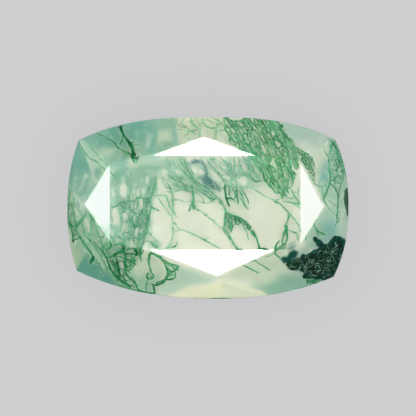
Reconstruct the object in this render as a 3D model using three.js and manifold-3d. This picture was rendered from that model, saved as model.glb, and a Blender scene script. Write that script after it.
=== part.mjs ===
// A faceted moss agate: one stone, cut as a long cushion with a flat table on top and a flat base.
// Millimetres, +Z up. The base facet lies on z = 0, and the origin is under the middle of the outline.
import * as THREE from 'three';
import { mergeVertices } from 'three/addons/utils/BufferGeometryUtils.js';
import Module from 'manifold-3d';

// Driving sizes of the stone
const LENGTH = 16.0; // along X, across the girdle
const WIDTH = 10.34; // along Y, across the girdle
const HEIGHT = 5.3; // base to table
const CROWN_HEIGHT = 1.75; // table down to the lowest point of the girdle's upper edge
const GIRDLE_BAND = 0.32; // least height of the girdle's upright wall

// The four corners of the cushion, which aren't quite alike on this hand-cut stone
const CORNER_NW = new THREE.Vector2(-7.37, 3.86);
const CORNER_NE = new THREE.Vector2(7.23, 3.89);
const CORNER_SE = new THREE.Vector2(7.15, -3.91);
const CORNER_SW = new THREE.Vector2(-7.47, -3.57);

// How far each side of the cushion swells past the straight line between its corners
const NORTH_SWELL = 1.3;
const EAST_SWELL = 0.8;
const SOUTH_SWELL = 1.42;
const WEST_SWELL = 0.59;
const NORTH_FULLNESS = 2.8; // 2 is a parabola, and more is flatter in the middle
const SIDE_FULLNESS = 2.3;
const STEPS_LONG_SIDE = 34;
const STEPS_SHORT_SIDE = 20;

// The eight corners of the table facet
const TABLE_WEST_UPPER = new THREE.Vector2(-5.54, 2.39);
const TABLE_NORTH_LEFT = new THREE.Vector2(-3.1, 2.96);
const TABLE_NORTH_RIGHT = new THREE.Vector2(2.66, 2.96);
const TABLE_EAST_UPPER = new THREE.Vector2(5.23, 2.38);
const TABLE_EAST_LOWER = new THREE.Vector2(5.23, -1.94);
const TABLE_SOUTH_RIGHT = new THREE.Vector2(3.76, -2.36);
const TABLE_SOUTH_LEFT = new THREE.Vector2(-3.29, -2.36);
const TABLE_WEST_LOWER = new THREE.Vector2(-5.54, -1.8);

// How far each star facet reaches out from the table's edge
const STAR_REACH_NORTH = 1.05;
const STAR_REACH_EAST = 1.3;
const STAR_REACH_SOUTH = 1.45;
const STAR_REACH_WEST = 1.42;

// Degrees that the short sides' main facets turn from the X axis
const EAST_UPPER_SWING = 20;
const EAST_LOWER_SWING = 21.5;
const WEST_SWING = 21;

const BREAK_ANGLE = 47; // degrees, the small facets between the stars' tips and the girdle
const MEET_GAP = 0.03; // mm that a facet stays off a corner where many others meet
const CORNER_SHAVE = 0.06; // mm that each corner facet takes off the ridge at the girdle

// The base facet and the facets that rise from it to the girdle
const BASE_HALF_LENGTH = 4.75;
const BASE_HALF_WIDTH = 2.35;
const BASE_LONG_EDGE = 5.0; // the straight edge along each long side of the base
const BASE_SHORT_EDGE = 1.3; // the straight edge at each end of the base
const BASE_CORNER = new THREE.Vector2(3.95, 1.95); // a point on the base's corner edges
const PAVILION_SWING_LONG = 15; // degrees that the long sides' facets turn from the Y axis
const PAVILION_SWING_SHORT = 24; // degrees that the short sides' facets turn from the X axis
const PAVILION_CORNER_AZIMUTH = 40; // degrees from the X axis

// How much lower than the girdle's edge each kind of pavilion facet is ground, in mm
const PAVILION_LONG_MIDDLE_SHAVE = 0.16;
const PAVILION_LONG_SHAVE = 0;
const PAVILION_SHORT_MIDDLE_SHAVE = 0.04;
const PAVILION_SHORT_SHAVE = 0.2;
const PAVILION_CORNER_SHAVE = 0.25;

const GIRDLE_TOP = HEIGHT - CROWN_HEIGHT;
const GIRDLE_BOTTOM = GIRDLE_TOP - GIRDLE_BAND;

// A unit direction in the XY plane, from an angle in degrees counted from +X
function heading(degrees) {
  const angle = THREE.MathUtils.degToRad(degrees);
  return new THREE.Vector2(Math.cos(angle), Math.sin(angle));
}

// One swelling side, from its first corner up to but not including its second
function cushionSide(from, to, swell, fullness, steps) {
  const along = to.clone().sub(from);
  const outward = new THREE.Vector2(along.y, -along.x).normalize();
  const points = [];
  for (let step = 0; step < steps; step += 1) {
    const share = step / steps;
    const rise = swell * (1 - Math.abs(2 * share - 1) ** fullness);
    points.push(from.clone().addScaledVector(along, share).addScaledVector(outward, rise));
  }
  return points;
}

// The stone's outline, counter-clockwise, fitted to its length and width about the origin
function cushionOutline() {
  const points = [
    ...cushionSide(CORNER_SW, CORNER_SE, SOUTH_SWELL, SIDE_FULLNESS, STEPS_LONG_SIDE),
    ...cushionSide(CORNER_SE, CORNER_NE, EAST_SWELL, SIDE_FULLNESS, STEPS_SHORT_SIDE),
    ...cushionSide(CORNER_NE, CORNER_NW, NORTH_SWELL, NORTH_FULLNESS, STEPS_LONG_SIDE),
    ...cushionSide(CORNER_NW, CORNER_SW, WEST_SWELL, SIDE_FULLNESS, STEPS_SHORT_SIDE),
  ];
  const box = new THREE.Box2().setFromPoints(points);
  const size = box.getSize(new THREE.Vector2());
  const middle = box.getCenter(new THREE.Vector2());
  const fit = new THREE.Vector2(LENGTH, WIDTH).divide(size);
  return points.map((point) => point.clone().sub(middle).multiply(fit));
}

// How far the outline reaches in a direction, measured from a point
function reachFrom(point, direction, outline) {
  return Math.max(...outline.map((corner) => corner.clone().sub(point).dot(direction)));
}

// A crown facet falls away outward from a point at table height. A pavilion facet rises from the base.
function slopingFacet(direction, slope, point, height, side) {
  const normal = new THREE.Vector3(direction.x * slope, direction.y * slope, side).normalize();
  const touch = new THREE.Vector3(point.x, point.y, height);
  return new THREE.Plane().setFromNormalAndCoplanarPoint(normal, touch);
}

// The height of a crown facet above or below a point of the XY plane
function facetHeightAt(facet, point) {
  return -(facet.normal.x * point.x + facet.normal.y * point.y + facet.constant) / facet.normal.z;
}

// A main facet leans from a line through the table's corner down to the girdle's upper edge
function crownMain(direction, tableCorner, outline) {
  const slope = CROWN_HEIGHT / reachFrom(tableCorner, direction, outline);
  return slopingFacet(direction, slope, tableCorner, HEIGHT, 1);
}

// The direction square to a table edge that is walked clockwise, seen from above
function squareTo(first, second) {
  const along = second.clone().sub(first);
  return new THREE.Vector2(-along.y, along.x).normalize();
}

// A star facet hangs from a table edge, and its tip lies on the two mains that meet beside it
function starFacet(direction, tableCorner, reach, leftMain, rightMain) {
  const tip = starTip(direction, tableCorner, reach, leftMain, rightMain);
  const slope = (HEIGHT - tip.z) / reach;
  return { tip, facet: slopingFacet(direction, slope, tableCorner, HEIGHT, 1) };
}

// The point at the star's reach where the two mains are equally high
function starTip(direction, tableCorner, reach, leftMain, rightMain) {
  const along = new THREE.Vector2(-direction.y, direction.x);
  const start = tableCorner.clone().addScaledVector(direction, reach);
  const gapAt = (point) => facetHeightAt(leftMain, point) - facetHeightAt(rightMain, point);
  const gap = gapAt(start);
  const change = gapAt(start.clone().add(along)) - gap;
  const tip = start.clone().addScaledVector(along, -gap / change);
  return new THREE.Vector3(tip.x, tip.y, facetHeightAt(leftMain, tip));
}

// A break facet starts just below a star's tip and runs steeply to the girdle
function breakFacet(direction, tip) {
  const slope = Math.tan(THREE.MathUtils.degToRad(BREAK_ANGLE));
  const start = new THREE.Vector2(tip.x, tip.y).addScaledVector(direction, MEET_GAP);
  return slopingFacet(direction, slope, start, tip.z, 1);
}

// A narrow corner facet, along the ridge from the table's corner to the girdle's corner
function cornerFacet(tableCorner, girdleCorner) {
  const run = girdleCorner.clone().sub(tableCorner);
  const slope = (CROWN_HEIGHT + CORNER_SHAVE) / run.length();
  const start = tableCorner.clone().addScaledVector(run.clone().normalize(), 2 * MEET_GAP);
  return slopingFacet(run.normalize(), slope, start, HEIGHT, 1);
}

// All the facets above the girdle
function crownFacets(outline) {
  const northWest = squareTo(TABLE_WEST_UPPER, TABLE_NORTH_LEFT);
  const northEast = squareTo(TABLE_NORTH_RIGHT, TABLE_EAST_UPPER);
  const southEast = squareTo(TABLE_EAST_LOWER, TABLE_SOUTH_RIGHT);
  const southWest = squareTo(TABLE_SOUTH_LEFT, TABLE_WEST_LOWER);
  const outside = (corner, direction) => corner.clone().addScaledVector(direction, MEET_GAP);
  const sideMain = (corner, degrees) => {
    const direction = heading(degrees);
    return crownMain(direction, outside(corner, direction), outline);
  };

  const mains = {
    northLeft: crownMain(northWest, TABLE_NORTH_LEFT, outline),
    northRight: crownMain(northEast, TABLE_NORTH_RIGHT, outline),
    southRight: crownMain(southEast, TABLE_SOUTH_RIGHT, outline),
    southLeft: crownMain(southWest, TABLE_SOUTH_LEFT, outline),
    eastUpper: sideMain(TABLE_EAST_UPPER, EAST_UPPER_SWING),
    eastLower: sideMain(TABLE_EAST_LOWER, -EAST_LOWER_SWING),
    westUpper: sideMain(TABLE_WEST_UPPER, 180 - WEST_SWING),
    westLower: sideMain(TABLE_WEST_LOWER, 180 + WEST_SWING),
  };

  const sides = [
    [heading(90), TABLE_NORTH_LEFT, STAR_REACH_NORTH, mains.northLeft, mains.northRight],
    [heading(0), TABLE_EAST_UPPER, STAR_REACH_EAST, mains.eastUpper, mains.eastLower],
    [heading(-90), TABLE_SOUTH_RIGHT, STAR_REACH_SOUTH, mains.southRight, mains.southLeft],
    [heading(180), TABLE_WEST_LOWER, STAR_REACH_WEST, mains.westLower, mains.westUpper],
  ];
  const starsAndBreaks = sides.flatMap(([direction, corner, reach, left, right]) => {
    const star = starFacet(direction, corner, reach, left, right);
    return [star.facet, breakFacet(direction, star.tip)];
  });

  const corners = [
    cornerFacet(TABLE_WEST_UPPER, CORNER_NW),
    cornerFacet(TABLE_EAST_UPPER, CORNER_NE),
    cornerFacet(TABLE_EAST_LOWER, CORNER_SE),
    cornerFacet(TABLE_WEST_LOWER, CORNER_SW),
  ];
  return [...Object.values(mains), ...starsAndBreaks, ...corners];
}

// A pavilion facet runs from a point on the base's edge up to the girdle's lower edge
function pavilionFacet(direction, basePoint, outline, shave) {
  const slope = (GIRDLE_BOTTOM + shave) / reachFrom(basePoint, direction, outline);
  return slopingFacet(direction, slope, basePoint, 0, -1);
}

// All the facets below the girdle, apart from the base, alike in the stone's four quarters
function pavilionFacets(outline) {
  const facets = [];
  const add = (direction, x, y, shave) => {
    facets.push(pavilionFacet(direction, new THREE.Vector2(x, y), outline, shave));
  };
  for (const sign of [1, -1]) {
    const longSide = new THREE.Vector2(0, sign);
    const shortSide = new THREE.Vector2(sign, 0);
    add(longSide, 0, sign * BASE_HALF_WIDTH, PAVILION_LONG_MIDDLE_SHAVE);
    add(shortSide, sign * BASE_HALF_LENGTH, 0, PAVILION_SHORT_MIDDLE_SHAVE);
  }
  const quarters = [[1, 1], [-1, 1], [-1, -1], [1, -1]];
  for (const [east, north] of quarters) {
    const turned = (degrees) => heading(degrees).multiply(new THREE.Vector2(east, north));
    const longEnd = [east * BASE_LONG_EDGE / 2, north * BASE_HALF_WIDTH];
    const shortEnd = [east * BASE_HALF_LENGTH, north * BASE_SHORT_EDGE / 2];
    const corner = [east * BASE_CORNER.x, north * BASE_CORNER.y];
    add(turned(90 - PAVILION_SWING_LONG), ...longEnd, PAVILION_LONG_SHAVE);
    add(turned(PAVILION_SWING_SHORT), ...shortEnd, PAVILION_SHORT_SHAVE);
    add(turned(PAVILION_CORNER_AZIMUTH), ...corner, PAVILION_CORNER_SHAVE);
  }
  return facets;
}

// Everything on the outer side of a facet's plane is ground away
function grind(wasmSolid, facet) {
  const inward = facet.normal.clone().negate();
  return wasmSolid.trimByPlane([inward.x, inward.y, inward.z], facet.constant);
}

// The upright cushion blank that the facets are cut from
function cushionBlank(wasm, outline) {
  const blank = new THREE.ExtrudeGeometry(new THREE.Shape(outline), {
    depth: HEIGHT,
    bevelEnabled: false,
  });
  blank.deleteAttribute('normal');
  blank.deleteAttribute('uv');
  const merged = mergeVertices(blank);
  const vertProperties = new Float32Array(merged.attributes.position.array);
  const triVerts = new Uint32Array(merged.index.array);
  return new wasm.Manifold(new wasm.Mesh({ numProp: 3, vertProperties, triVerts }));
}

function toGeometry(wasmSolid) {
  const cut = wasmSolid.getMesh();
  const geometry = new THREE.BufferGeometry();
  geometry.setAttribute('position', new THREE.BufferAttribute(cut.vertProperties, 3));
  geometry.setIndex(new THREE.BufferAttribute(cut.triVerts, 1));
  geometry.computeVertexNormals();
  return geometry;
}

const wasm = await Module();
wasm.setup();

const outline = cushionOutline();
const facets = [...crownFacets(outline), ...pavilionFacets(outline)];
const cutStone = facets.reduce(grind, cushionBlank(wasm, outline));

const agate = new THREE.MeshStandardMaterial({ color: 0xc9dcc0, roughness: 0.06, metalness: 0 });
agate.flatShading = true;

const stone = new THREE.Mesh(toGeometry(cutStone), agate);
stone.name = 'stone';

const model = new THREE.Group();
model.add(stone);
export default model;
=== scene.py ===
# The looks of a faceted moss agate: a polished stone with milky clouds and green moss grown inside it
import math
import random
from collections import namedtuple

import bpy
import numpy as np
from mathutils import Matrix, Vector
from mathutils.bvhtree import BVHTree
from mathutils.geometry import delaunay_2d_cdt
from mathutils.noise import fractal


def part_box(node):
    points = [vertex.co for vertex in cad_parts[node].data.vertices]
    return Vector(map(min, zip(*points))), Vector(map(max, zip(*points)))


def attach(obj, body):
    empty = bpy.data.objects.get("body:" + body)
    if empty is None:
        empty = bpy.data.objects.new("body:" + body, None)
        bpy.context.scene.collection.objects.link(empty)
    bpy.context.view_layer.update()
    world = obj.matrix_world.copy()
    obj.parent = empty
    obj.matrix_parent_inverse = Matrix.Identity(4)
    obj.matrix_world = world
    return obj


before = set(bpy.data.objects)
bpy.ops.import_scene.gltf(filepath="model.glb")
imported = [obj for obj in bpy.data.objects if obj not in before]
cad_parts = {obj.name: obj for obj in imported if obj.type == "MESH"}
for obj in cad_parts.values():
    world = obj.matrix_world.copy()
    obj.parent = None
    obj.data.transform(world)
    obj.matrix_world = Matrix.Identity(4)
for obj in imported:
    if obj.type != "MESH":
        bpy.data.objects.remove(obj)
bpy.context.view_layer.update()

bl_info = {
    "name": "Faceted Moss Agate",
    "version": (1, 0, 0),
    "blender": (4, 5, 0),
    "location": "View3D > Sidebar > Moss Agate",
    "description": "Dresses a faceted moss agate with its milk, its clouds and its moss",
    "category": "Object",
}

# The stone, as the frame gives it
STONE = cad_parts["stone"]
STONE_LOW, STONE_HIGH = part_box("stone")
BODY = "root"

# The bench: pieces are modelled in millimetres and brought down to metres when they are done
MM = 0.001
LENGTH_MM = (STONE_HIGH.x - STONE_LOW.x) / MM
GIRDLE_LEVEL = 3.39

# The photograph: the stone's middle and length in it, in pixels of its 416 x 416 frame
PHOTO_MIDDLE = (208.0, 207.75)
PHOTO_STONE_LENGTH = 281.0
PHOTO_WIDTH = 416.0
MM_PER_PX = LENGTH_MM / PHOTO_STONE_LENGTH


def bench_point(px, py):
    """A place in the photograph as x and y on the bench, in millimetres."""
    return (px - PHOTO_MIDDLE[0]) * MM_PER_PX, (PHOTO_MIDDLE[1] - py) * MM_PER_PX


def light_of(share):
    """Linear light for shares of a screen's full brightness."""
    return np.where(share <= 0.04045, share / 12.92, ((share + 0.055) / 1.055) ** 2.4)


def linear(*colour):
    """A screen colour from 0 to 255 as linear light, with full alpha."""
    return tuple(float(light_of(value / 255.0)) for value in colour) + (1.0,)


def smooth_step(value):
    """Eases from 0 to 1 as the value goes from 0 to 1."""
    value = np.clip(value, 0.0, 1.0)
    return value * value * (3.0 - 2.0 * value)


# The stone's facets

# Smaller faces, in square metres, are slivers with no true direction
SMALLEST_FACET = 2e-9
# Two faces are one facet when their directions and distances, in millimetres, are this alike
SAME_DIRECTION = 0.9998
SAME_DISTANCE = 0.05
# A facet is no wall of the girdle when its normal rises or falls by more than this
LEANING = 0.2


def stone_facets():
    """The CAD stone's facets on the bench, as arrays of outward normals and distances."""
    normals, distances = [], []
    faces = [face for face in STONE.data.polygons if face.area > SMALLEST_FACET]
    for face in sorted(faces, key=lambda face: -face.area):
        normal = np.array(face.normal)
        distance = float(normal @ np.array(face.center)) / MM
        known = any(n @ normal > SAME_DIRECTION and abs(d - distance) < SAME_DISTANCE
                    for n, d in zip(normals, distances))
        if not known:
            normals.append(normal)
            distances.append(distance)
    return np.array(normals), np.array(distances)


FACET_NORMALS, FACET_DISTANCES = stone_facets()
CROWN = FACET_NORMALS[:, 2] > LEANING
PAVILION = FACET_NORMALS[:, 2] < -LEANING

# How far the milk lies under the facets: a little at the girdle, and more where the stone is higher
RIM_CLEAR = 0.05
CROWN_SHRINK = 0.22
PAVILION_SHRINK = 0.06

# Rounds of pushing that bring a point back inside all the facets
PUSHES = 3


def facet_height(x, y, side):
    """The height of the facets of one side of the stone over places on the bench."""
    normals, distances = FACET_NORMALS[side], FACET_DISTANCES[side]
    flat = np.multiply.outer(normals[:, 0], x) + np.multiply.outer(normals[:, 1], y)
    shape = (-1,) + (1,) * np.ndim(x)
    heights = (distances.reshape(shape) - flat) / normals[:, 2].reshape(shape)
    return heights.min(axis=0) if normals[0, 2] > 0 else heights.max(axis=0)


def milk_height(skin, shrink):
    """The milk follows the skin's height, drawn in towards the girdle."""
    drawn = (skin - GIRDLE_LEVEL) * (1.0 - shrink)
    return GIRDLE_LEVEL + drawn - np.sign(drawn) * RIM_CLEAR


def crown_height(x, y, level):
    """Height of a strand over the milk of the crown: level 0 is on the milk, 1 at the facets."""
    skin = facet_height(x, y, CROWN)
    milk = milk_height(skin, CROWN_SHRINK)
    return milk + (skin - milk) * level


def pavilion_height(x, y, level):
    """The same on the underside."""
    skin = facet_height(x, y, PAVILION)
    milk = milk_height(skin, PAVILION_SHRINK)
    return milk + (skin - milk) * level


def keep_inside(points, margin):
    """Pushes points back until they lie this far inside every facet."""
    points = np.array(points, float)
    for _ in range(PUSHES):
        for normal, distance in zip(FACET_NORMALS, FACET_DISTANCES):
            past = points @ normal - (distance - margin)
            points -= np.outer(np.clip(past, 0.0, None), normal)
    return points


# Bench work


def deselect_all():
    if bpy.context.object and bpy.context.object.mode != "OBJECT":
        bpy.ops.object.mode_set(mode="OBJECT")
    bpy.ops.object.select_all(action="DESELECT")


def make_only(piece):
    """Selects one object alone and makes it active."""
    deselect_all()
    piece.select_set(True)
    bpy.context.view_layer.objects.active = piece


def off_the_bench(piece, material):
    """Brings a finished piece from millimetres to metres, gives it its material and lets it ride."""
    make_only(piece)
    piece.scale = (MM, MM, MM)
    bpy.ops.object.transform_apply(location=True, rotation=True, scale=True)
    piece.data.materials.clear()
    piece.data.materials.append(material)
    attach(piece, BODY)


def paint(piece, name, colours):
    """Stores one linear colour for each corner point of a piece."""
    layer = piece.data.color_attributes.new(name, "FLOAT_COLOR", "POINT")
    full = np.ones((len(colours), 4))
    full[:, :3] = colours
    layer.data.foreach_set("color", full.ravel())


# Materials


class Nodes:
    """A small helper that adds and wires shader nodes."""

    def __init__(self, name):
        self.material = bpy.data.materials.new(name)
        self.material.use_nodes = True
        self.tree = self.material.node_tree
        self.tree.nodes.clear()
        self.output = self.add("ShaderNodeOutputMaterial")

    def add(self, kind, **settings):
        node = self.tree.nodes.new(kind)
        for key, value in settings.items():
            name = key.replace("_", " ")
            if name in node.inputs:
                node.inputs[name].default_value = value
            else:
                setattr(node, key, value)
        return node

    def join(self, source, target):
        self.tree.links.new(source, target)

    def noise(self, place, scale, detail=3.0):
        """A noise value on the given coordinates."""
        node = self.add("ShaderNodeTexNoise", Scale=scale, Detail=detail)
        self.join(place, node.inputs["Vector"])
        return node.outputs["Fac"]

    def ramp(self, value, *stops):
        """Turns a value into the colours of a ramp."""
        node = self.add("ShaderNodeValToRGB")
        self.join(value, node.inputs["Fac"])
        points = node.color_ramp.elements
        while len(points) < len(stops):
            points.new(0.5)
        for point, (place, colour) in zip(points, stops):
            point.position = place
            point.color = colour
        return node.outputs["Color"]

    def blend(self, kind, factor, first, second):
        """Mixes two colours; each is an output or a fixed colour."""
        node = self.add("ShaderNodeMix", data_type="RGBA", blend_type=kind)
        for name, value in (("Factor", factor), ("A", first), ("B", second)):
            socket = next(s for s in node.inputs if s.name == name and s.enabled)
            if isinstance(value, bpy.types.NodeSocket):
                self.join(value, socket)
            else:
                socket.default_value = value
        return next(s for s in node.outputs if s.enabled)


def polished_agate(look):
    """The clear polished skin of the stone, with a faint green that deepens with the way light goes."""
    nodes = Nodes("polished_agate")
    surface = nodes.add("ShaderNodeBsdfPrincipled", Base_Color=(1.0, 1.0, 1.0, 1.0),
                        Roughness=look.roughness, IOR=look.ior, Transmission_Weight=1.0)
    inside = nodes.add("ShaderNodeVolumeAbsorption", Color=look.tint, Density=look.density)
    nodes.join(surface.outputs["BSDF"], nodes.output.inputs["Surface"])
    nodes.join(inside.outputs["Volume"], nodes.output.inputs["Volume"])
    return nodes.material


def painted_stone(name, layer, mottle, fleck_scale, glow_depth):
    """The stone inside: its painted colours, with two sizes of mottle, and light that soaks in."""
    nodes = Nodes(name)
    place = nodes.add("ShaderNodeTexCoord").outputs["Object"]
    base = nodes.add("ShaderNodeVertexColor", layer_name=layer).outputs["Color"]
    low, high = (1.0 - mottle,) * 3 + (1.0,), (1.0 + mottle,) * 3 + (1.0,)
    broad = nodes.ramp(nodes.noise(place, fleck_scale), (0.3, low), (0.7, high))
    fine = nodes.ramp(nodes.noise(place, fleck_scale * 4.0), (0.3, low), (0.7, high))
    colour = nodes.blend("MULTIPLY", 1.0, base, broad)
    colour = nodes.blend("MULTIPLY", 0.5, colour, fine)
    surface = nodes.add("ShaderNodeBsdfPrincipled", Roughness=0.6, Specular_IOR_Level=0.0,
                        Subsurface_Weight=1.0, Subsurface_Scale=glow_depth,
                        Subsurface_Radius=(1.0, 1.0, 1.0), Subsurface_Anisotropy=0.0)
    nodes.join(colour, surface.inputs["Base Color"])
    nodes.join(surface.outputs["BSDF"], nodes.output.inputs["Surface"])
    return nodes.material


def pale_floor(look):
    """A sheet lit a little from below, so that the stone's shadow stays light."""
    nodes = Nodes("pale_floor")
    own = look.floor_glow
    dimmed = tuple(channel * (1.0 - own) for channel in look.floor_colour[:3]) + (1.0,)
    surface = nodes.add("ShaderNodeBsdfPrincipled", Base_Color=dimmed, Roughness=0.9, Specular_IOR_Level=0.0,
                        Emission_Color=look.floor_colour, Emission_Strength=own)
    nodes.join(surface.outputs["BSDF"], nodes.output.inputs["Surface"])
    return nodes.material


# Clouds in the milk: soft patches and the fields of the facets, in pixels of the photograph

CREAM = (239, 239, 218)
WARM_CREAM = (228, 228, 208)
YELLOW = (238, 239, 198)
PALE_GREEN = (205, 218, 189)
GREY_TEAL = (176, 198, 182)
PALE_TEAL = (164, 202, 176)
SOFT_TEAL = (136, 182, 156)
TEAL = (112, 172, 152)
DEEP_TEAL = (92, 153, 132)
BLUE_TEAL = (112, 170, 164)
SLATE = (98, 138, 130)
NEAR_BLACK = (16, 44, 36)
ARM_TEAL = (22, 76, 66)
SPOT_GREEN = (12, 66, 46)
CLUSTER_CORE = (12, 38, 30)
CLUSTER_SKIRT = (10, 62, 52)
# Painted light: a pale green laid on the milk under and between the threads, to offset the shade they cast
PAINTED_GAP_LIGHT = (230, 246, 220)


def ellipse(px, py, place, radii, turn, softness):
    """How much of a soft ellipse covers each place."""
    angle = math.radians(turn)
    across, along = px - place[0], py - place[1]
    u = (across * math.cos(angle) + along * math.sin(angle)) / radii[0]
    v = (-across * math.sin(angle) + along * math.cos(angle)) / radii[1]
    edge = softness / min(radii)
    return smooth_step((1.0 - np.hypot(u, v)) / edge + 0.5)


def field(px, py, corners, softness):
    """How much of a soft-edged polygon covers each place."""
    inside = np.zeros(px.shape, bool)
    nearest = np.full(px.shape, 1e9)
    for (ax, ay), (bx, by) in zip(corners, corners[1:] + corners[:1]):
        crosses = (ay > py) != (by > py)
        with np.errstate(divide="ignore", invalid="ignore"):
            crossing = ax + (py - ay) * (bx - ax) / (by - ay if by != ay else 1e-9)
        inside ^= crosses & (px < crossing)
        length = math.hypot(bx - ax, by - ay)
        share = np.clip(((px - ax) * (bx - ax) + (py - ay) * (by - ay)) / length ** 2, 0.0, 1.0)
        away = np.hypot(px - ax - share * (bx - ax), py - ay - share * (by - ay))
        nearest = np.minimum(nearest, away)
    signed = np.where(inside, nearest, -nearest)
    return smooth_step(signed / softness + 0.5)


# Each field: colour, strength, softness, whether its edge wanders, and its corners
FIELDS = {
    "warm_right": (WARM_CREAM, 0.9, 30, True, [(225, 200), (300, 185), (300, 245), (240, 245)]),
    "left_veil": ((186, 214, 190), 0.9, 5, True, [(50, 100), (158, 100), (158, 165), (155, 190), (150, 215),
        (146, 240), (138, 256), (50, 262)]),
    "left_column": (PALE_GREEN, 0.7, 8, True, [(127, 165), (158, 165), (154, 190), (149, 215), (145, 240),
        (132, 248), (126, 215)]),
    "top_left_band": (SOFT_TEAL, 0.9, 3, False, [(80, 139), (176, 100), (176, 146), (154, 156), (110, 168)]),
    "top_left_teal": (TEAL, 0.9, 8, True, [(84, 139), (120, 110), (150, 105), (150, 138), (122, 148),
        (98, 149)]),
    "top_pale": ((216, 218, 188), 0.85, 4, True, [(157, 133), (173, 131), (173, 152), (158, 154)]),
    "top_yellow": (YELLOW, 0.85, 6, True, [(177, 100), (224, 100), (226, 130), (178, 131)]),
    "top_cream": ((222, 226, 204), 0.8, 5, True, [(178, 130), (226, 129), (231, 148), (178, 150)]),
    "lattice_ground": ((216, 224, 200), 0.6, 8, True, [(224, 100), (280, 100), (300, 150), (300, 172),
        (287, 200), (262, 186), (232, 146)]),
    "top_right_grey": (GREY_TEAL, 1, 2, False, [(270, 100), (340, 100), (328, 138), (312.5, 159),
        (299, 164)]),
    "top_right_teal": (PALE_TEAL, 0.7, 10, True, [(276, 112), (330, 120), (326, 132), (290, 134)]),
    "top_right_pale": (PALE_GREEN, 0.95, 4, True, [(322, 144), (327, 150), (326, 168), (316, 178),
        (309, 161)]),
    "right_side": (PALE_TEAL, 0.9, 3, False, [(328, 137), (360, 130), (360, 250), (306, 246), (300, 240),
        (323, 206), (314, 185), (327, 168)]),
    "right_blue": (BLUE_TEAL, 0.85, 6, True, [(327, 160), (328, 182), (314, 182), (317, 172)]),
    "bottom_right": (SOFT_TEAL, 0.95, 14, True, [(255, 275), (345, 262), (345, 300), (250, 310)]),
    "bottom_middle": (PALE_GREEN, 1, 8, True, [(216, 276), (262, 256), (300, 242), (300, 262), (262, 282)]),
    "bottom_left_mid": ((178, 210, 186), 0.9, 5, True, [(160, 284), (178, 262), (214, 276), (196, 284),
        (165, 297)]),
    "bottom_yellow": (YELLOW, 1, 2.5, False, [(160, 310), (168, 294), (222, 279), (262, 290), (285, 310)]),
    "bottom_yellow_left": (YELLOW, 0.8, 8, True, [(180, 310), (180, 290), (218, 284), (226, 310)]),
    "bottom_yellow_right": (PALE_GREEN, 0.75, 6, True, [(222, 280), (262, 290), (290, 310), (226, 310)]),
    "column_ground": ((126, 182, 154), 0.6, 3, True, [(128, 194), (156, 176), (153, 205), (148, 238),
        (133, 242), (126, 215)]),
    "clump_ground": ((148, 200, 164), 0.85, 4, True, [(107, 256), (113, 243), (142, 243), (142, 256),
        (133, 268), (139, 289), (122, 286)]),
    "fan_ground": (PALE_GREEN, 0.95, 5, True, [(140, 252), (156, 252), (168, 272), (162, 282), (134, 272)]),
    "fan_teal": (SOFT_TEAL, 0.8, 7, True, [(128, 276), (158, 272), (160, 296), (120, 292)]),
    "corner_veil": (PALE_TEAL, 0.8, 3, False, [(60, 236), (100, 240), (135, 310), (60, 300)]),
    "corner_yellow": ((168, 196, 158), 0.9, 2, False, [(60, 240), (78, 243), (88, 250), (76.8, 270),
        (60, 275)]),
    "corner_teal": (DEEP_TEAL, 1, 2.5, False, [(76.8, 269.5), (88, 250), (96, 256), (112, 282), (110, 300),
        (60, 300)]),
    "corner_stripe": (PALE_TEAL, 0.9, 2.5, False, [(95, 243), (101, 243), (122, 283), (113, 285)]),
    "corner_low_teal": (DEEP_TEAL, 0.9, 3, False, [(110, 262), (124, 284), (130, 296), (112, 292),
        (104, 268)]),
    "left_strip": ((174, 206, 180), 0.9, 6, True, [(60, 190), (84, 190), (84, 236), (60, 236)]),
    "left_teal": (TEAL, 1, 2.5, False, [(60, 140), (80, 139.5), (91, 166), (92.5, 176), (60, 172)]),
    "left_teal_low": (SOFT_TEAL, 0.9, 6, True, [(60, 168), (93, 172), (90, 182), (76, 186), (60, 184)]),
    "left_pale": (PALE_GREEN, 0.6, 6, True, [(92, 158), (108, 169), (98, 184), (93, 176)]),
    "kite": ((182, 212, 188), 0.8, 1.5, False, [(80, 139), (87, 147), (98, 157), (109.5, 167.5), (97, 169),
        (91, 161)]),
    # Painted highlights: thin pale lines along the kite facet's edges, where its polished edges catch the
    # light
    "kite_glint_b": ((200, 226, 206), 0.6, 1.2, False, [(80, 138.5), (82, 138.5), (107, 163.5), (105.5, 165)]),
    "kite_glint": ((212, 230, 212), 0.7, 1.2, False, [(79.5, 140), (81, 140), (92.5, 165), (91, 166)]),
}

# Painted reflection: even grey laid on the milk under the west and east star facets, in their shape, so that
# the glare they mirror reads white; it shows a little through the reflections
STAR_GLARE_GROUNDS = {
    "west": ((191, 197, 195), [(88, 203.5), (111, 169), (111, 237)]),
    "east": ((200, 200, 196), [(301, 169), (322, 206), (301, 237)]),
}

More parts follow.
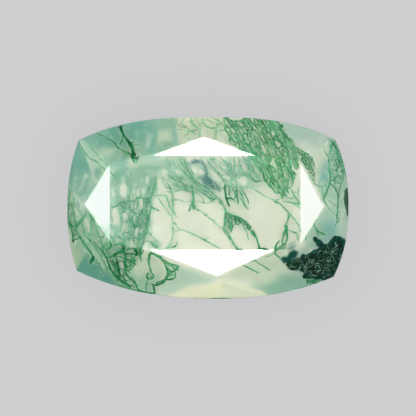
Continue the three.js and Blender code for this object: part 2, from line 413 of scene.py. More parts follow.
# Each blot: colour, strength, softness, place, radii and turn
BLOTS = {
    "table_north_teal": (PALE_TEAL, 0.8, 10, (165, 166), (24, 9), 0),
    "table_corner_teal": (TEAL, 0.7, 8, (122, 174), (9, 11), 0),
    "table_corner_pale": (PALE_GREEN, 0.7, 6, (134, 166), (7, 14), 20),
    "column_shade": (SOFT_TEAL, 0.5, 8, (146, 174), (9, 8), 0),
    "column_pale_a": (PALE_GREEN, 0.7, 5, (124, 190), (5, 12), 0),
    "column_pale_b": (CREAM, 0.7, 5, (116, 217), (4, 11), 0),
    "column_pale_c": (PALE_GREEN, 0.6, 5, (142, 191), (5, 6), 0),
    "column_east": ((88, 152, 128), 0.7, 3, (152.6, 187), (2.6, 11), 15),
    "column_west_teal": ((96, 158, 142), 0.6, 3, (129.4, 186), (1.6, 9), 0),
    "column_foot": (PALE_GREEN, 0.8, 5, (131, 240), (5, 6), 0),
    "post_shade": ((84, 152, 124), 0.75, 3, (124, 249), (4, 8), 0),
    "shelf_shade": ((108, 170, 142), 0.6, 3, (114, 252), (6, 5), -20),
    "foot_patch": (SOFT_TEAL, 0.75, 4, (155, 244), (5, 5), 20),
    "top_low_shade": ((112, 164, 132), 0.75, 4, (167, 148), (13, 4), -14),
    "top_pale_a": (PALE_GREEN, 0.9, 4, (169, 136), (4, 6), 0),
    "top_pale_b": (PALE_GREEN, 0.7, 4, (148, 142), (3, 5), 0),
    "top_pale_c": (PALE_GREEN, 0.75, 4, (107, 153), (8, 3), 4),
    "top_stripe_a": (TEAL, 0.8, 3, (177, 137), (1.8, 13), -3),
    "top_stripe_b": (TEAL, 0.7, 5, (154, 143), (4, 12), -8),
    "top_yellow_a": ((255, 250, 218), 1, 3, (187, 121), (7, 4.5), 10),
    "top_yellow_b": ((255, 250, 218), 1, 3, (209, 121.5), (9.5, 5), 25),
    "top_grey": (WARM_CREAM, 0.7, 4, (207, 134), (7, 4), 0),
    "patch_ground": ((156, 188, 168), 0.6, 4, (236, 221), (12, 4.5), 32),
    "band_eye": ((176, 208, 196), 0.8, 2, (279, 146), (3, 4.5), -20),
    "band_hatch": ((158, 204, 186), 0.7, 4, (284, 178), (6, 9), -30),
    "skirt_pale": (CREAM, 0.6, 5, (253, 164), (15, 6), 25),
    "cluster_halo": ((128, 170, 150), 0.6, 4, (304, 249.5), (9, 4), -15),
    "slate_right": (SLATE, 0.85, 3, (290, 243.5), (5, 2), -20),
    "tangle_ground": (PALE_TEAL, 0.35, 9, (185, 176), (18, 11), 25),
    "band_ground": (SOFT_TEAL, 0.55, 6, (240, 186), (17, 3), 0),
    "right_low": (BLUE_TEAL, 0.8, 8, (327, 229), (9, 10), 0),
    "right_far": (GREY_TEAL, 0.8, 6, (346, 228), (4, 12), 0),
    "right_top": ((76, 140, 120), 0.9, 6, (337, 156), (6.5, 20), -14),
    "right_middle": ((104, 158, 138), 0.3, 5, (338, 184), (6, 10), 0),
    "plane_pale": ((216, 224, 206), 0.75, 6, (306, 149), (13, 6), 20),
    "left_low": (SOFT_TEAL, 0.7, 8, (80, 232), (8, 12), -20),
    "left_lilac": (GREY_TEAL, 0.6, 6, (84, 208), (5, 8), 0),
    "left_edge_pale": (PALE_GREEN, 0.7, 5, (75, 198), (3, 9), 10),
    "haze_shade": ((98, 158, 138), 0.65, 4, (85, 184), (11, 11), 0),
    "haze_shade_east": ((98, 158, 138), 0.7, 3, (99, 174), (4, 7), 40),
    "west_low_pale": ((178, 210, 186), 0.5, 6, (91, 249), (10, 8), 35),
    "haze_pale_a": (PALE_GREEN, 0.6, 3, (88.5, 176), (3, 3), 0),
    "haze_pale_b": (PALE_GREEN, 0.6, 3, (82.5, 185), (2.6, 4), 20),
    "haze_pale_c": (PALE_GREEN, 0.5, 3, (92, 187), (2.5, 4), 0),
    "haze_teal_a": (SOFT_TEAL, 0.9, 3, (79, 180), (3, 3), 0),
    "edge_teal": ((92, 150, 134), 0.75, 4, (71, 179), (2.5, 9), 8),
    "haze_teal_b": (SOFT_TEAL, 0.6, 3, (87, 190), (3, 3), 0),
    "left_middle_pale": (PALE_GREEN, 0.5, 5, (87, 224), (4, 8), 0),
}

# The slate blue ring's smudge: place, radii and turn
SLATE_BLUE = (88, 130, 128)
SLATE_SMUDGE = ((209.5, 182.5), (10.5, 4.2), 37)
SMUDGE_STRENGTH = 0.85

# The milk seen through the open eyes of the webs
OPENING = (240, 243, 222)

# The dark cluster at the lower right, as an outline, and its blurred arm
CLUSTER_EDGE = [
    (346, 240), (340, 236.5), (334, 237), (330, 241), (324, 244.5), (319, 247), (313, 249), (307, 253),
    (301, 254.5), (297, 257), (289, 258.5), (287, 263), (290.5, 268.5), (297, 268.5), (303.5, 271),
    (304, 276.5), (309, 278), (317, 277), (326, 280), (333, 276), (339, 264), (344, 254)]
CLUSTER_ARM = [(280, 257.5), (282, 254.5), (286, 255), (288.5, 250), (293, 247.8), (297.2, 250),
    (296.4, 254), (292, 257), (289, 260.5), (283, 261.5)]


def wander(px, py):
    """A slow sway that keeps the clouds' edges from running straight."""
    sway_x = 1.6 * np.sin(px / 9.1 + 1.3) * np.cos(py / 7.3) + 1.1 * np.sin((px + py) / 4.7)
    sway_y = 1.6 * np.cos(px / 8.3) * np.sin(py / 9.7 + 0.6) + 1.1 * np.sin((px - 1.4 * py) / 5.3 + 2.0)
    return px + sway_x, py + sway_y


def photo_place(x, y):
    """The place in the photograph that lies over a place on the bench."""
    return x / MM_PER_PX + PHOTO_MIDDLE[0], PHOTO_MIDDLE[1] - y / MM_PER_PX


def lay(colours, colour, amount):
    """Moves screen colours towards a colour, by an amount for each of them."""
    colours += (np.array(colour, float) - colours) * amount[:, None]


# How much wider the soft edge of a cloud is where it wanders
FIELD_SPREAD = 1.8
BLOT_SPREAD = 1.6


def cloud_colours(px, py):
    """The milk's screen colour over places of the photograph."""
    swayed_x, swayed_y = wander(px, py)
    colours = np.tile(np.array(CREAM, float), (len(px), 1))
    for colour, strength, softness, wanders, corners in FIELDS.values():
        if wanders:
            cover = field(swayed_x, swayed_y, corners, softness * FIELD_SPREAD)
        else:
            cover = field(px, py, corners, softness)
        lay(colours, colour, strength * cover)
    for colour, strength, softness, place, radii, turn in BLOTS.values():
        cover = ellipse(swayed_x, swayed_y, place, radii, turn, softness * BLOT_SPREAD)
        lay(colours, colour, strength * cover)
    return colours


# How the polish changes what lies under it: a little haze over it, the share of light that
# comes straight back out, and the share that is thrown back in and coloured once more, with
# the darkest and the palest linear colour that stone can have
HAZE = 0.004
STRAIGHT_OUT = 0.6
THROWN_BACK = 0.43
DARKEST = 0.002
PALEST = 0.97


def under_polish(colours):
    """Linear colours that look like these screen colours once they are seen through the polish."""
    share = np.clip(colours, 0.0, 255.0) / 255.0
    seen = np.clip(light_of(share) - HAZE, DARKEST, 1.0)
    return np.clip(seen / (STRAIGHT_OUT + THROWN_BACK * seen), 0.0, PALEST)


# The moss: each strand is its tone (0 pale and deep, 1 dark and near), its width in pixels, and
# the places of the photograph that it passes; a third number there is the width at that place

TOP_LEFT = {
    "stem": (0.95, 2.2, [(120.5, 125.5, 3.8), (121.5, 130, 2.4), (124.5, 135.5, 2), (128, 141, 2.4),
        (131, 145, 3.4), (133.5, 151, 4), (134, 156, 4.4), (133, 159.5, 4)]),
    "stem_head": (0.9, 2, [(118.5, 126.5), (120.5, 127.5), (122.5, 126)]),
    "stem_knot": (0.85, 1.7, [(127.5, 142), (130.5, 144), (134, 143)]),
    "stem_foot": (0.85, 1.8, [(133, 159.5), (136, 158.5), (139, 158)]),
    "stem_blob": (0.5, 4.5, [(133, 160), (136, 162, 4), (137.5, 163.5, 2.5)]),
    "stem_nub_a": (0.9, 1.5, [(130.5, 144.5), (132.5, 142.5), (134, 142.8)]),
    "stem_nub_b": (0.85, 1.4, [(130.5, 147), (128.6, 145.2)]),
    "stem_nub_c": (0.85, 1.3, [(133, 150), (135.4, 149.4)]),
    "stem_base_left": (0.85, 1.5, [(132, 155), (129.3, 153.8), (128.6, 152)]),
    "stem_base_right": (0.9, 2, [(134, 158.5), (137.5, 158.8), (139.2, 157)]),
    "stem_drop_a": (0.6, 1.8, [(134, 160), (134.5, 162.5)]),
    "stem_drop_b": (0.5, 1.5, [(137, 160), (138.5, 162)]),
    "twig_left": (0.8, 1.4, [(123, 135), (122, 141), (120.5, 145.5)]),
    "twig_right": (0.3, 1.2, [(133, 145), (137, 145.5), (141, 145.5)]),
    "long": (0.6, 1.3, [(96.5, 132.5), (101, 135.5), (107, 138), (113, 141.5, 1.9), (117, 146, 1.9),
        (120.5, 149.5, 1.6), (126, 152.5, 1.9), (130, 155, 1.6)]),
    "long_twin": (0.4, 1.1, [(119, 147), (124, 153), (130, 159)]),
    "kite_left": (0.42, 1.4, [(81, 145), (86, 153), (91, 159), (96, 160.5), (102, 166.5), (106.5, 170)]),
    "kite_right": (0.35, 1.1, [(88, 145), (95, 152), (99, 155.5), (104, 161.5)]),
    "under_table": (0.4, 1.2, [(111, 172), (115, 176), (119.5, 181)]),
    "dot": (0.35, 2.2, [(131, 174), (132, 174.5)]),
}

TOP_MIDDLE = {
    "arc_a": (0.1, 2.4, [(184, 118.5), (182.5, 124), (186, 128.5), (192, 131), (199, 131.5)]),
    "arc_b": (0.22, 3, [(191, 118.5, 2.2), (191.5, 124), (196, 128), (200, 132.5), (199.5, 138.5, 2.4)]),
    "arc_c": (0.16, 2.2, [(202.5, 119), (205, 126), (210.5, 129), (216.5, 128.5), (217.5, 122)]),
    "arc_d": (0.1, 1.8, [(196, 119), (197.5, 123), (203, 129)]),
    "arc_e": (0.26, 1.8, [(213.5, 119), (219, 121), (223, 127)]),
    "arc_f": (0.12, 3, [(215.5, 129), (216, 134), (215.5, 140)]),
    "arc_g": (0.08, 2.6, [(186, 132), (187, 138), (191, 142)]),
    "arc_i": (0.06, 2.2, [(178, 130.5), (184, 130.5), (190, 131.5)]),
    "arc_j": (0.1, 1.8, [(205, 119.5), (210, 121.5), (214, 124)]),
}

TANGLE = {
    "bundle_a": (0.4, 1.02, [(167, 174), (176, 180), (186, 185.5), (196, 189), (206, 195), (212, 200.5)]),
    "bundle_b": (0.49, 1.02, [(178, 165), (186, 174), (193, 181), (203, 189), (211, 195), (216, 199)]),
    "bundle_c": (0.38, 0.85, [(176, 178), (184, 184), (193, 187), (202, 192), (211, 200)]),
    "bundle_d": (0.5, 1.1, [(184, 160), (187, 168), (193, 178), (199.5, 183.5), (208, 189), (217, 197)]),
    "bundle_e": (0.4, 0.85, [(183, 186), (190, 191), (197, 193), (203, 199), (205, 203)]),
    "bundle_f": (0.56, 0.94, [(196, 182), (204, 185.5), (211.5, 191.5), (217, 198)]),
    "bundle_g": (0.39, 1.02, [(172, 183), (180, 188), (188, 191), (197, 192)]),
    "bundle_h": (0.34, 1.1, [(160, 177), (170, 181), (180, 186), (186, 188)]),
    "bundle_tip": (0.74, 1.1, [(207, 195.5), (212, 198.5), (216.5, 199)]),
    "west_a": (0.3, 1.1, [(179, 157), (184, 166), (188, 173), (193, 179)]),
    "west_b": (0.26, 0.95, [(183, 157), (189, 166), (195, 176)]),
    "west_c": (0.18, 1.1, [(166, 157), (172, 168), (178, 176), (184, 181)]),
    "west_d": (0.28, 1.32, [(168, 180), (175, 176), (183, 179)]),
    "west_e": (0.18, 0.95, [(173, 158), (176, 166), (184, 172), (190, 174)]),
    "west_f": (0.23, 0.88, [(162, 180), (165, 186), (172, 189), (180, 189)]),
    "east_a": (0.27, 1.05, [(205, 157), (211, 165), (217, 172), (222, 178), (225.5, 184), (227, 191)]),
    "east_b": (0.22, 0.85, [(209, 157), (215, 163), (222, 169), (228.5, 176)]),
    "east_c": (0.17, 0.79, [(213, 157), (220, 163), (226, 166.5), (229.5, 170)]),
    "east_d": (0.32, 1.05, [(219, 157), (224.5, 162), (228, 167), (231, 172)]),
    "east_e": (0.32, 1.12, [(229, 157), (230.5, 165), (231.5, 175), (230, 186), (228, 195)]),
    "east_f": (0.32, 0.99, [(234, 157), (234.5, 166), (235, 175), (236, 185), (236.5, 195), (238, 204)]),
    "east_g": (0.34, 1.05, [(238, 157), (240, 166), (245, 174), (250.5, 181)]),
    "east_h": (0.32, 1.05, [(242, 157), (246.5, 163), (250, 172), (251, 180)]),
    "east_i": (0.4, 1.19, [(247, 157), (251, 165), (255, 174), (259.5, 181)]),
    "east_j": (0.22, 0.79, [(207, 160), (212, 169), (219, 175), (224, 183)]),
    "cross_a": (0.22, 0.85, [(228, 176.5), (233, 172), (238.5, 170)]),
    "cross_b": (0.14, 0.79, [(222, 170), (230, 170.5), (237, 166)]),
    "cross_c": (0.17, 1.71, [(224, 178), (230, 183.5), (238, 187), (246, 187), (254, 186)]),
    "cross_d": (0.32, 0.92, [(237, 178.5), (243, 175), (249, 176.5)]),
    "cross_e": (0.27, 0.79, [(231, 180), (236, 176), (240, 171), (241, 164)]),
    "fringe_a": (0.8, 1.8, [(225, 184, 1.5), (225, 192), (226.5, 199, 2), (229, 206, 2.6)]),
    "fringe_b": (0.56, 1.2, [(229, 186), (229.5, 193), (231.5, 198), (235.5, 203)]),
    "fringe_c": (0.82, 1.7, [(226, 198.5), (230, 198), (233, 200)]),
    "fringe_d": (0.6, 1.4, [(236, 186), (237, 196), (238, 203.5)]),
    "fringe_e": (0.42, 1.2, [(240, 190), (242, 197), (245, 204), (248, 210)]),
    "fringe_f": (0.58, 1.2, [(241, 188), (245, 194), (247, 199), (248, 203.5)]),
    "fringe_g": (0.42, 1.1, [(240, 197), (243, 203), (247.5, 209)]),
    "fringe_h": (0.5, 1.2, [(232, 189), (235.5, 195), (233, 200)]),
    "skirt_tip_a": (0.5, 1.8, [(248, 174), (252, 179.5), (258, 182)]),
    "skirt_tip_b": (0.55, 1.6, [(251, 177), (255, 181.5), (261, 181)]),
    "skirt_tip_c": (0.45, 1.4, [(256, 173), (258, 178), (257, 182)]),
    "dark_stalk": (0.54, 2.04, [(192, 184, 1.6), (193, 193), (193.5, 200), (194, 208.5, 2.4)]),
    "dark_fork_a": (0.66, 1.44, [(193, 200.5), (191.5, 205), (189, 210.5, 2.2)]),
    "dark_fork_b": (0.54, 1.27, [(194, 203), (196, 208.5)]),
}

SLATE_RING = {
    "ring": (0.5, 2.2, [(190, 165), (193, 162.5), (198, 161), (202.5, 163), (205.5, 168),
        (206.3, 174.5, 2.8)]),
    "ring_root": (0.45, 3, [(206, 173), (207, 178), (212, 184), (219, 189.5)]),
}

THIN = {
    "net_a": (0.29, 1.2, [(155, 196), (160, 195.5), (166, 196), (168.5, 202), (171.5, 209), (174.5, 214),
        (178, 217.5)]),
    "net_b": (0.27, 1.47, [(168, 182), (172, 192), (173, 200), (173, 209), (176, 214)]),
    "net_c": (0.27, 1.01, [(158, 197), (162, 203), (165, 206.5), (170, 213), (172, 217)]),
    "net_d": (0.25, 1.1, [(167, 191), (172, 192), (180, 190), (186, 189), (190, 191)]),
    "net_e": (0.17, 1.01, [(170, 200), (180, 200), (186, 201.5), (196, 201), (206, 203), (215, 200.5)]),
    "net_f": (0.22, 1.1, [(156, 176), (157, 187), (156.5, 196)]),
    "west_stem": (0.21, 1.38, [(171.5, 213), (173, 222), (173.2, 232), (172, 241), (169, 246), (165, 248.5)]),
    "west_hook": (0.37, 1.29, [(168, 246.2), (172, 247), (176, 245), (178, 240.5)]),
    "long_a": (0.25, 1.1, [(173, 221), (176, 224), (180, 229), (186, 230)]),
    "long_b": (0.25, 1.1, [(186, 230), (194, 234), (203, 238.5, 1.6), (209, 242), (216, 246), (220, 249)]),
    "knot_a": (0.5, 2.2, [(203.5, 239), (206, 239.5)]),
    "knot_b": (0.5, 1.7, [(208, 241.5), (209.5, 242)]),
    "spur_a": (0.22, 1.01, [(205, 239.5), (207.5, 237.5), (210, 237)]),
    "spur_b": (0.12, 1.01, [(174, 232), (177, 230.5), (181, 229.5)]),
    "long_c": (0.27, 1.1, [(195, 208.5), (200, 210), (206, 215), (212, 220), (219, 226), (224, 229)]),
    "knot_c": (0.42, 1.9, [(205, 214.5), (206.2, 215.3)]),
    "middle_stem": (0.33, 2.39, [(217, 197, 1.6), (221, 202), (224.5, 208), (226, 214, 3), (225, 221, 2.4),
        (224, 229, 2.6)]),
    "middle_leg": (0.45, 2.21, [(223, 228, 3.4), (227, 233, 2.8), (231, 239), (235, 245), (238, 249)]),
    "middle_foot": (0.75, 1.38, [(236, 248.6), (239, 248.4), (242.5, 248.6)]),
    "patch_top": (0.6, 2.2, [(226, 212.5, 2), (232, 215), (240, 218), (246, 222), (250.5, 226.5)]),
    "patch_leg": (0.5, 3, [(230, 221), (231, 227), (231, 231.5, 2.2)]),
    "patch_end": (0.72, 2.6, [(250.5, 226), (248, 229)]),
    "patch_side": (0.5, 1.8, [(224.5, 213), (225, 222), (223, 229)]),
    "patch_spur": (0.35, 1.2, [(243, 226), (246, 232), (248, 239.5)]),
    "tail": (0.62, 2.2, [(250, 229), (253, 233, 3), (256.5, 238, 2), (258, 244, 1.6), (258.6, 248)]),
    "tail_foot": (0.88, 1.7, [(257.5, 248.2), (262, 248), (267.5, 249)]),
    "east_a": (0.12, 1.66, [(250, 186), (257, 191), (264, 195.5), (274, 200.5)]),
    "east_b": (0.37, 1.47, [(273, 201), (278, 203), (283, 207.5), (288, 212.5, 2.2)]),
    "east_c": (0.32, 1.1, [(280, 198), (277, 199.5), (275, 202.5)]),
    "east_d": (0.47, 1.2, [(282, 201), (290, 202.3), (296, 203), (300, 204.5)]),
    "east_e": (0.35, 1.1, [(288, 201), (294, 204), (300, 209)]),
    "east_f": (0.42, 1.38, [(288, 212, 2.6), (288.3, 217), (286.5, 220.5), (285, 225)]),
    "east_g": (0.33, 1.29, [(288, 213), (292, 217), (296, 222), (299, 227), (300, 232)]),
    "east_h": (0.67, 1.84, [(284.5, 223, 1.5), (285.5, 227.5, 3.4), (286, 233), (286.5, 239.5, 1.8)]),
    "east_i": (0.55, 1.66, [(285, 228), (283, 234), (282, 240), (281, 247)]),
    "east_j": (0.42, 1.2, [(287, 229), (292, 231), (296, 233.5), (297.5, 239.8, 1.9)]),
    "east_k": (0.57, 1.56, [(286.5, 238), (284, 243), (279, 246.8), (275, 250)]),
    "east_l": (0.77, 1.84, [(278.5, 240.5), (276, 244), (275, 249), (274.5, 252)]),
    "east_m": (0.52, 1.47, [(276, 247.5), (281, 247), (285.5, 246)]),
    "east_n": (0.47, 1.2, [(281, 240), (284.5, 245)]),
    "east_o": (0.57, 1.56, [(273.5, 252), (277, 255), (281, 258)]),
    "east_p": (0.47, 1.2, [(264, 255.5), (269, 254), (274, 252)]),
    "east_q": (0.47, 1.38, [(291, 189), (294, 196), (296.5, 199), (300, 204)]),
    "east_r": (0.32, 1.1, [(298.5, 187), (297.3, 196)]),
    "east_s": (0.42, 1.2, [(286, 196), (290, 199), (293, 196)]),
    "below_a": (0.5, 1.4, [(242, 263.5), (248, 266), (254, 269.5), (259, 272)]),
    "below_b": (0.42, 1.3, [(254, 259.5), (258, 261.5), (263, 265), (270, 269.5)]),
    "below_c": (0.6, 1.3, [(251, 259.5), (256.5, 258.8)]),
    "corner_y": (0.66, 1.8, [(312, 223), (314.5, 228.5), (317.5, 235)]),
    "corner_fork": (0.66, 1.7, [(315, 228.5), (319, 232), (324.5, 234)]),
    "corner_bit": (0.5, 1.8, [(304, 235), (305, 239.5)]),
    "corner_nub": (0.3, 1.6, [(316, 218), (314.3, 220.5)]),
}

NETWORK = {
    "left_rail_top": (0.06, 1.1, [(328, 139), (323.5, 141), (321.8, 144), (323, 148), (325, 153)]),
    "left_rail": (0.5, 1.5, [(324, 151), (326, 154.5), (327.5, 158), (328.5, 165), (329, 175), (328.5, 184),
        (326, 190, 2), (324, 195, 2.2), (322, 199.5)]),
    "left_drop": (0.5, 1.2, [(322, 199.5), (325, 205), (329, 210), (333, 214), (336, 216)]),
    "right_rail": (0.6, 1.9, [(331, 140.5), (334, 145), (337, 150), (339.5, 155), (342, 162), (344.5, 170),
        (346.5, 177)]),
    "inner_a": (0.42, 1.2, [(331, 143), (330, 150), (329, 157)]),
    "inner_b": (0.55, 1.5, [(336, 148), (337.5, 156), (339, 163), (342, 170), (343, 177), (341, 184)]),
    "inner_c": (0.5, 1.4, [(329, 181), (333, 180), (337, 182), (340.5, 184.5)]),
    "inner_d": (0.45, 1.2, [(332, 164), (336, 166), (339.5, 165)]),
    "inner_e": (0.62, 1.8, [(329, 183.5), (334, 188), (336.5, 193), (337, 200), (336.6, 210),
        (335.5, 218.5)]),
    "inner_f": (0.5, 1.4, [(340, 184), (338.5, 191), (337.7, 199)]),
    "inner_g": (0.34, 1.1, [(325.5, 199), (331, 203), (337, 206.5), (339.5, 206.3)]),
    "inner_h": (0.6, 1.3, [(335.5, 217), (335.8, 221), (333.3, 225)]),
    "inner_i": (0.5, 1.2, [(336, 217.5), (338.5, 218), (338, 221.5), (335.8, 221.5)]),
    "inner_j": (0.4, 1.2, [(333, 150), (336, 153), (339, 158)]),
    "inner_k": (0.4, 1.2, [(330, 172), (333, 178), (329.5, 182)]),
    "speck": (0.75, 2.8, [(335.3, 169.6), (336.6, 170.3)]),
    "link_a": (0.3, 1.2, [(311, 183), (317, 186), (321, 186), (326, 184)]),
    "link_b": (0.3, 1.1, [(320.5, 186), (321, 193), (322, 199)]),
    "edge_spot": (1, 4, [(346.8, 189, 2.6), (345.3, 197, 4.6), (346, 204, 3.6), (347.2, 213, 1.8)]),
    "cap_a": (0.4, 1.2, [(327, 139), (332, 141.5), (337, 143)]),
    "cap_b": (0.3, 1.1, [(326, 146), (330, 147), (334, 151)]),
    "cap_c": (0.3, 1.1, [(328, 153), (333, 156), (338, 157)]),
}

COLUMN = {
    "edge": (0.36, 1.4, [(156, 181), (154.5, 188, 1.9), (151.5, 199, 1.7), (152, 207), (149.5, 215),
        (148.5, 223), (148, 230), (144.5, 238), (142.5, 246), (141, 252)]),
    "edge_twin": (0.36, 1.2, [(150, 187), (149, 190), (147.5, 199), (146.5, 206), (147, 213), (144, 221),
        (145.5, 229), (141, 238), (138, 247)]),
    "spine": (0.2, 1.6, [(130, 188), (128.5, 197, 2.2), (129.5, 206), (131, 213), (130, 224, 1.7),
        (131, 234), (130, 243)]),
    "curl_a": (0.5, 1.4, [(111, 207), (117, 206), (121, 202.5), (125, 202), (128, 204.5)]),
    "curl_b": (0.42, 1.2, [(121, 203.5), (124, 207), (127.5, 209.5)]),
    "curl_c": (0.4, 1.2, [(122, 204), (124, 208.5), (123, 212)]),
    "curl_dot": (0.5, 2, [(123, 212), (126, 211.5)]),
    "bridge_a": (0.3, 1.2, [(129, 199), (134, 201.5), (139, 197.5), (147, 200)]),
    "bridge_b": (0.36, 1.2, [(129, 207), (134, 212), (141, 213.5), (148, 212)]),
    "bridge_c": (0.36, 1.2, [(131, 225), (136, 225.5), (142, 223), (147, 224)]),
    "bridge_d": (0.36, 1.2, [(130, 238), (135, 237.5), (141, 238)]),
    "ring_b": (0.36, 1.2, [(133, 216), (136, 215), (138.5, 218.5), (137, 223.5), (133.5, 223.5),
        (132, 219.5), (133, 216)]),
    "ring_c": (0.34, 1.2, [(124.5, 234), (127, 232), (130, 234), (129.5, 237.5), (126, 238), (124.5, 234)]),
    "ring_d": (0.38, 1.1, [(143, 215.5), (146, 214.5), (148, 218), (147, 223), (143.5, 222), (142.5, 218.5),
        (143, 215.5)]),
    "spur": (0.6, 1.4, [(151.5, 207), (156, 208.5), (160, 210.5)]),
    "spur_low": (0.3, 1.2, [(148.5, 230.5), (153, 236), (158, 241.5)]),
    "low_a": (0.32, 1.3, [(111, 225), (113, 229), (117, 234), (120, 237), (127, 240.5)]),
    "low_b": (0.32, 1.2, [(112, 239), (116, 236.5), (119.5, 234)]),
    "low_c": (0.36, 2.2, [(151, 242), (155, 245, 3), (159, 247)]),
    "low_d": (0.25, 1.2, [(141, 243), (147, 241), (154, 241.5)]),
    "mist_a": (0.16, 1.4, [(113, 186), (119.5, 198), (119, 206), (122, 220), (119, 232)]),
}

CLUMP = {
    "shelf": (0.7, 2.4, [(108.5, 257, 2), (114, 254.5), (119, 252, 3), (124, 249, 3), (127, 246, 2.4)]),
    "post": (0.74, 1.9, [(124, 243.5, 1.6), (124.6, 249, 2), (126, 255), (126, 261, 2), (128, 266.5, 1.8)]),
    "sweep": (0.76, 2.2, [(107.5, 256, 1.6), (109, 264, 1.8), (112, 270, 2), (117, 276, 2.4),
        (122, 281, 3.2), (127, 284.5, 4.2), (131, 287, 2.6)]),
    "sweep_b": (0.7, 1.5, [(112.5, 258), (116, 265), (120, 272), (124, 279), (128, 285)]),
    "spine": (0.84, 2.2, [(117, 257, 2), (118, 263, 2.6), (119, 269, 2.2), (120.5, 276, 1.8)]),
    "spine_b": (0.6, 1, [(110, 258), (113, 264), (116, 268.5), (118, 274)]),
    "spine_c": (0.6, 1, [(125, 258), (125.6, 264), (124.6, 270), (127, 277)]),
    "long": (0.66, 1.7, [(126, 255), (125, 263), (126.3, 270), (128, 275.5), (132, 279), (136, 283),
        (137.3, 287.5), (141, 290.5)]),
    "long_spur": (0.45, 1.2, [(136, 283), (139.5, 285.5)]),
    "arm": (0.6, 1.5, [(119, 255), (124, 257), (130, 259), (134, 262), (136.5, 263.5)]),
    "arm_b": (0.8, 1.9, [(127, 253), (133, 252.5), (137, 254, 2.6), (139.5, 251.5)]),
    "knob": (0.9, 2.6, [(134.5, 247, 2), (136.5, 250.5, 3), (137.5, 253.5, 2.2)]),
    "hang": (0.7, 1.8, [(140, 246.5), (141.5, 250), (141, 255), (141.6, 260.5)]),
    "hang_b": (0.55, 1.3, [(141, 246.5), (144, 249), (142.5, 252.5)]),
    "curl_a": (0.55, 1.3, [(128, 266), (131, 264), (133, 260), (134, 256), (137, 254)]),
    "curl_b": (0.5, 1.2, [(129, 262), (132, 257.5), (131, 253)]),
    "curl_c": (0.6, 1.3, [(129, 270), (133, 266.5), (136, 263)]),
    "curl_d": (0.5, 1.1, [(128, 262), (131.5, 261), (132, 264.5), (129, 266)]),
    "curl_e": (0.55, 1.2, [(133, 257), (135.5, 258), (135, 261.5), (132, 261)]),
    "lintel": (0.5, 1.7, [(114, 243.5), (121, 242), (127, 243)]),
    "lintel_b": (0.5, 1.5, [(127, 248.5), (131, 247), (136, 247), (141, 248)]),
    "hook": (0.72, 2.4, [(110.3, 240), (111.6, 244), (110, 247.5, 2.2), (107.3, 249, 1.8)]),
    "hook_b": (0.5, 1.5, [(108.5, 242), (105, 245), (103, 248.5), (103.5, 254)]),
    "side": (0.55, 1.7, [(103, 247), (104.5, 252), (107, 257), (109, 262), (112, 271), (116, 277),
        (121, 281)]),
    "floor": (0.62, 2, [(119, 284.5), (128, 288), (138, 290.7), (148, 292.3), (156, 293)]),
    "fan_a": (0.5, 1.9, [(151, 251), (150, 256), (149.3, 262), (151, 268), (151.3, 272)]),
    "fan_ring": (0.62, 1.8, [(149, 271.5), (146.8, 275), (149, 278.3), (152, 278), (153.7, 274.5),
        (151.3, 271.5)]),
    "fan_b": (0.52, 1.4, [(148, 279), (146.7, 284), (147, 290.5)]),
    "fan_c": (0.62, 1.9, [(150, 251), (156, 253), (161, 256, 2.2), (164, 261), (167, 266), (168.2, 270.5),
        (167.3, 275.5), (168, 279, 2.6)]),
    "fan_d": (0.58, 1.4, [(163, 257.5), (168, 261), (173, 263), (178.5, 264.5)]),
    "fan_e": (0.52, 1.3, [(165, 260), (171, 264.5), (175, 267), (178.5, 269.5)]),
    "fan_f": (0.52, 1.4, [(168, 270.5), (173, 270), (178, 266.8), (180, 264)]),
    "fan_g": (0.5, 1.3, [(168, 276), (172, 272), (175, 268)]),
    "fan_h": (0.85, 1.8, [(167, 279.3), (171, 278.2), (174.5, 277.5)]),
    "fan_i": (0.6, 1.2, [(174.8, 277.5), (175.6, 272), (175, 268)]),
    "fan_j": (0.75, 2, [(167, 275), (165, 280), (160, 283.5), (155, 285), (152, 283)]),
    "fan_k": (0.7, 1.5, [(165, 278), (160.5, 281), (156, 281.7)]),
    "fan_l": (0.75, 2.1, [(153.7, 284.5), (154.2, 289), (154.7, 293)]),
    "fan_m": (0.5, 1.2, [(167, 266), (171, 269), (169, 273)]),
}

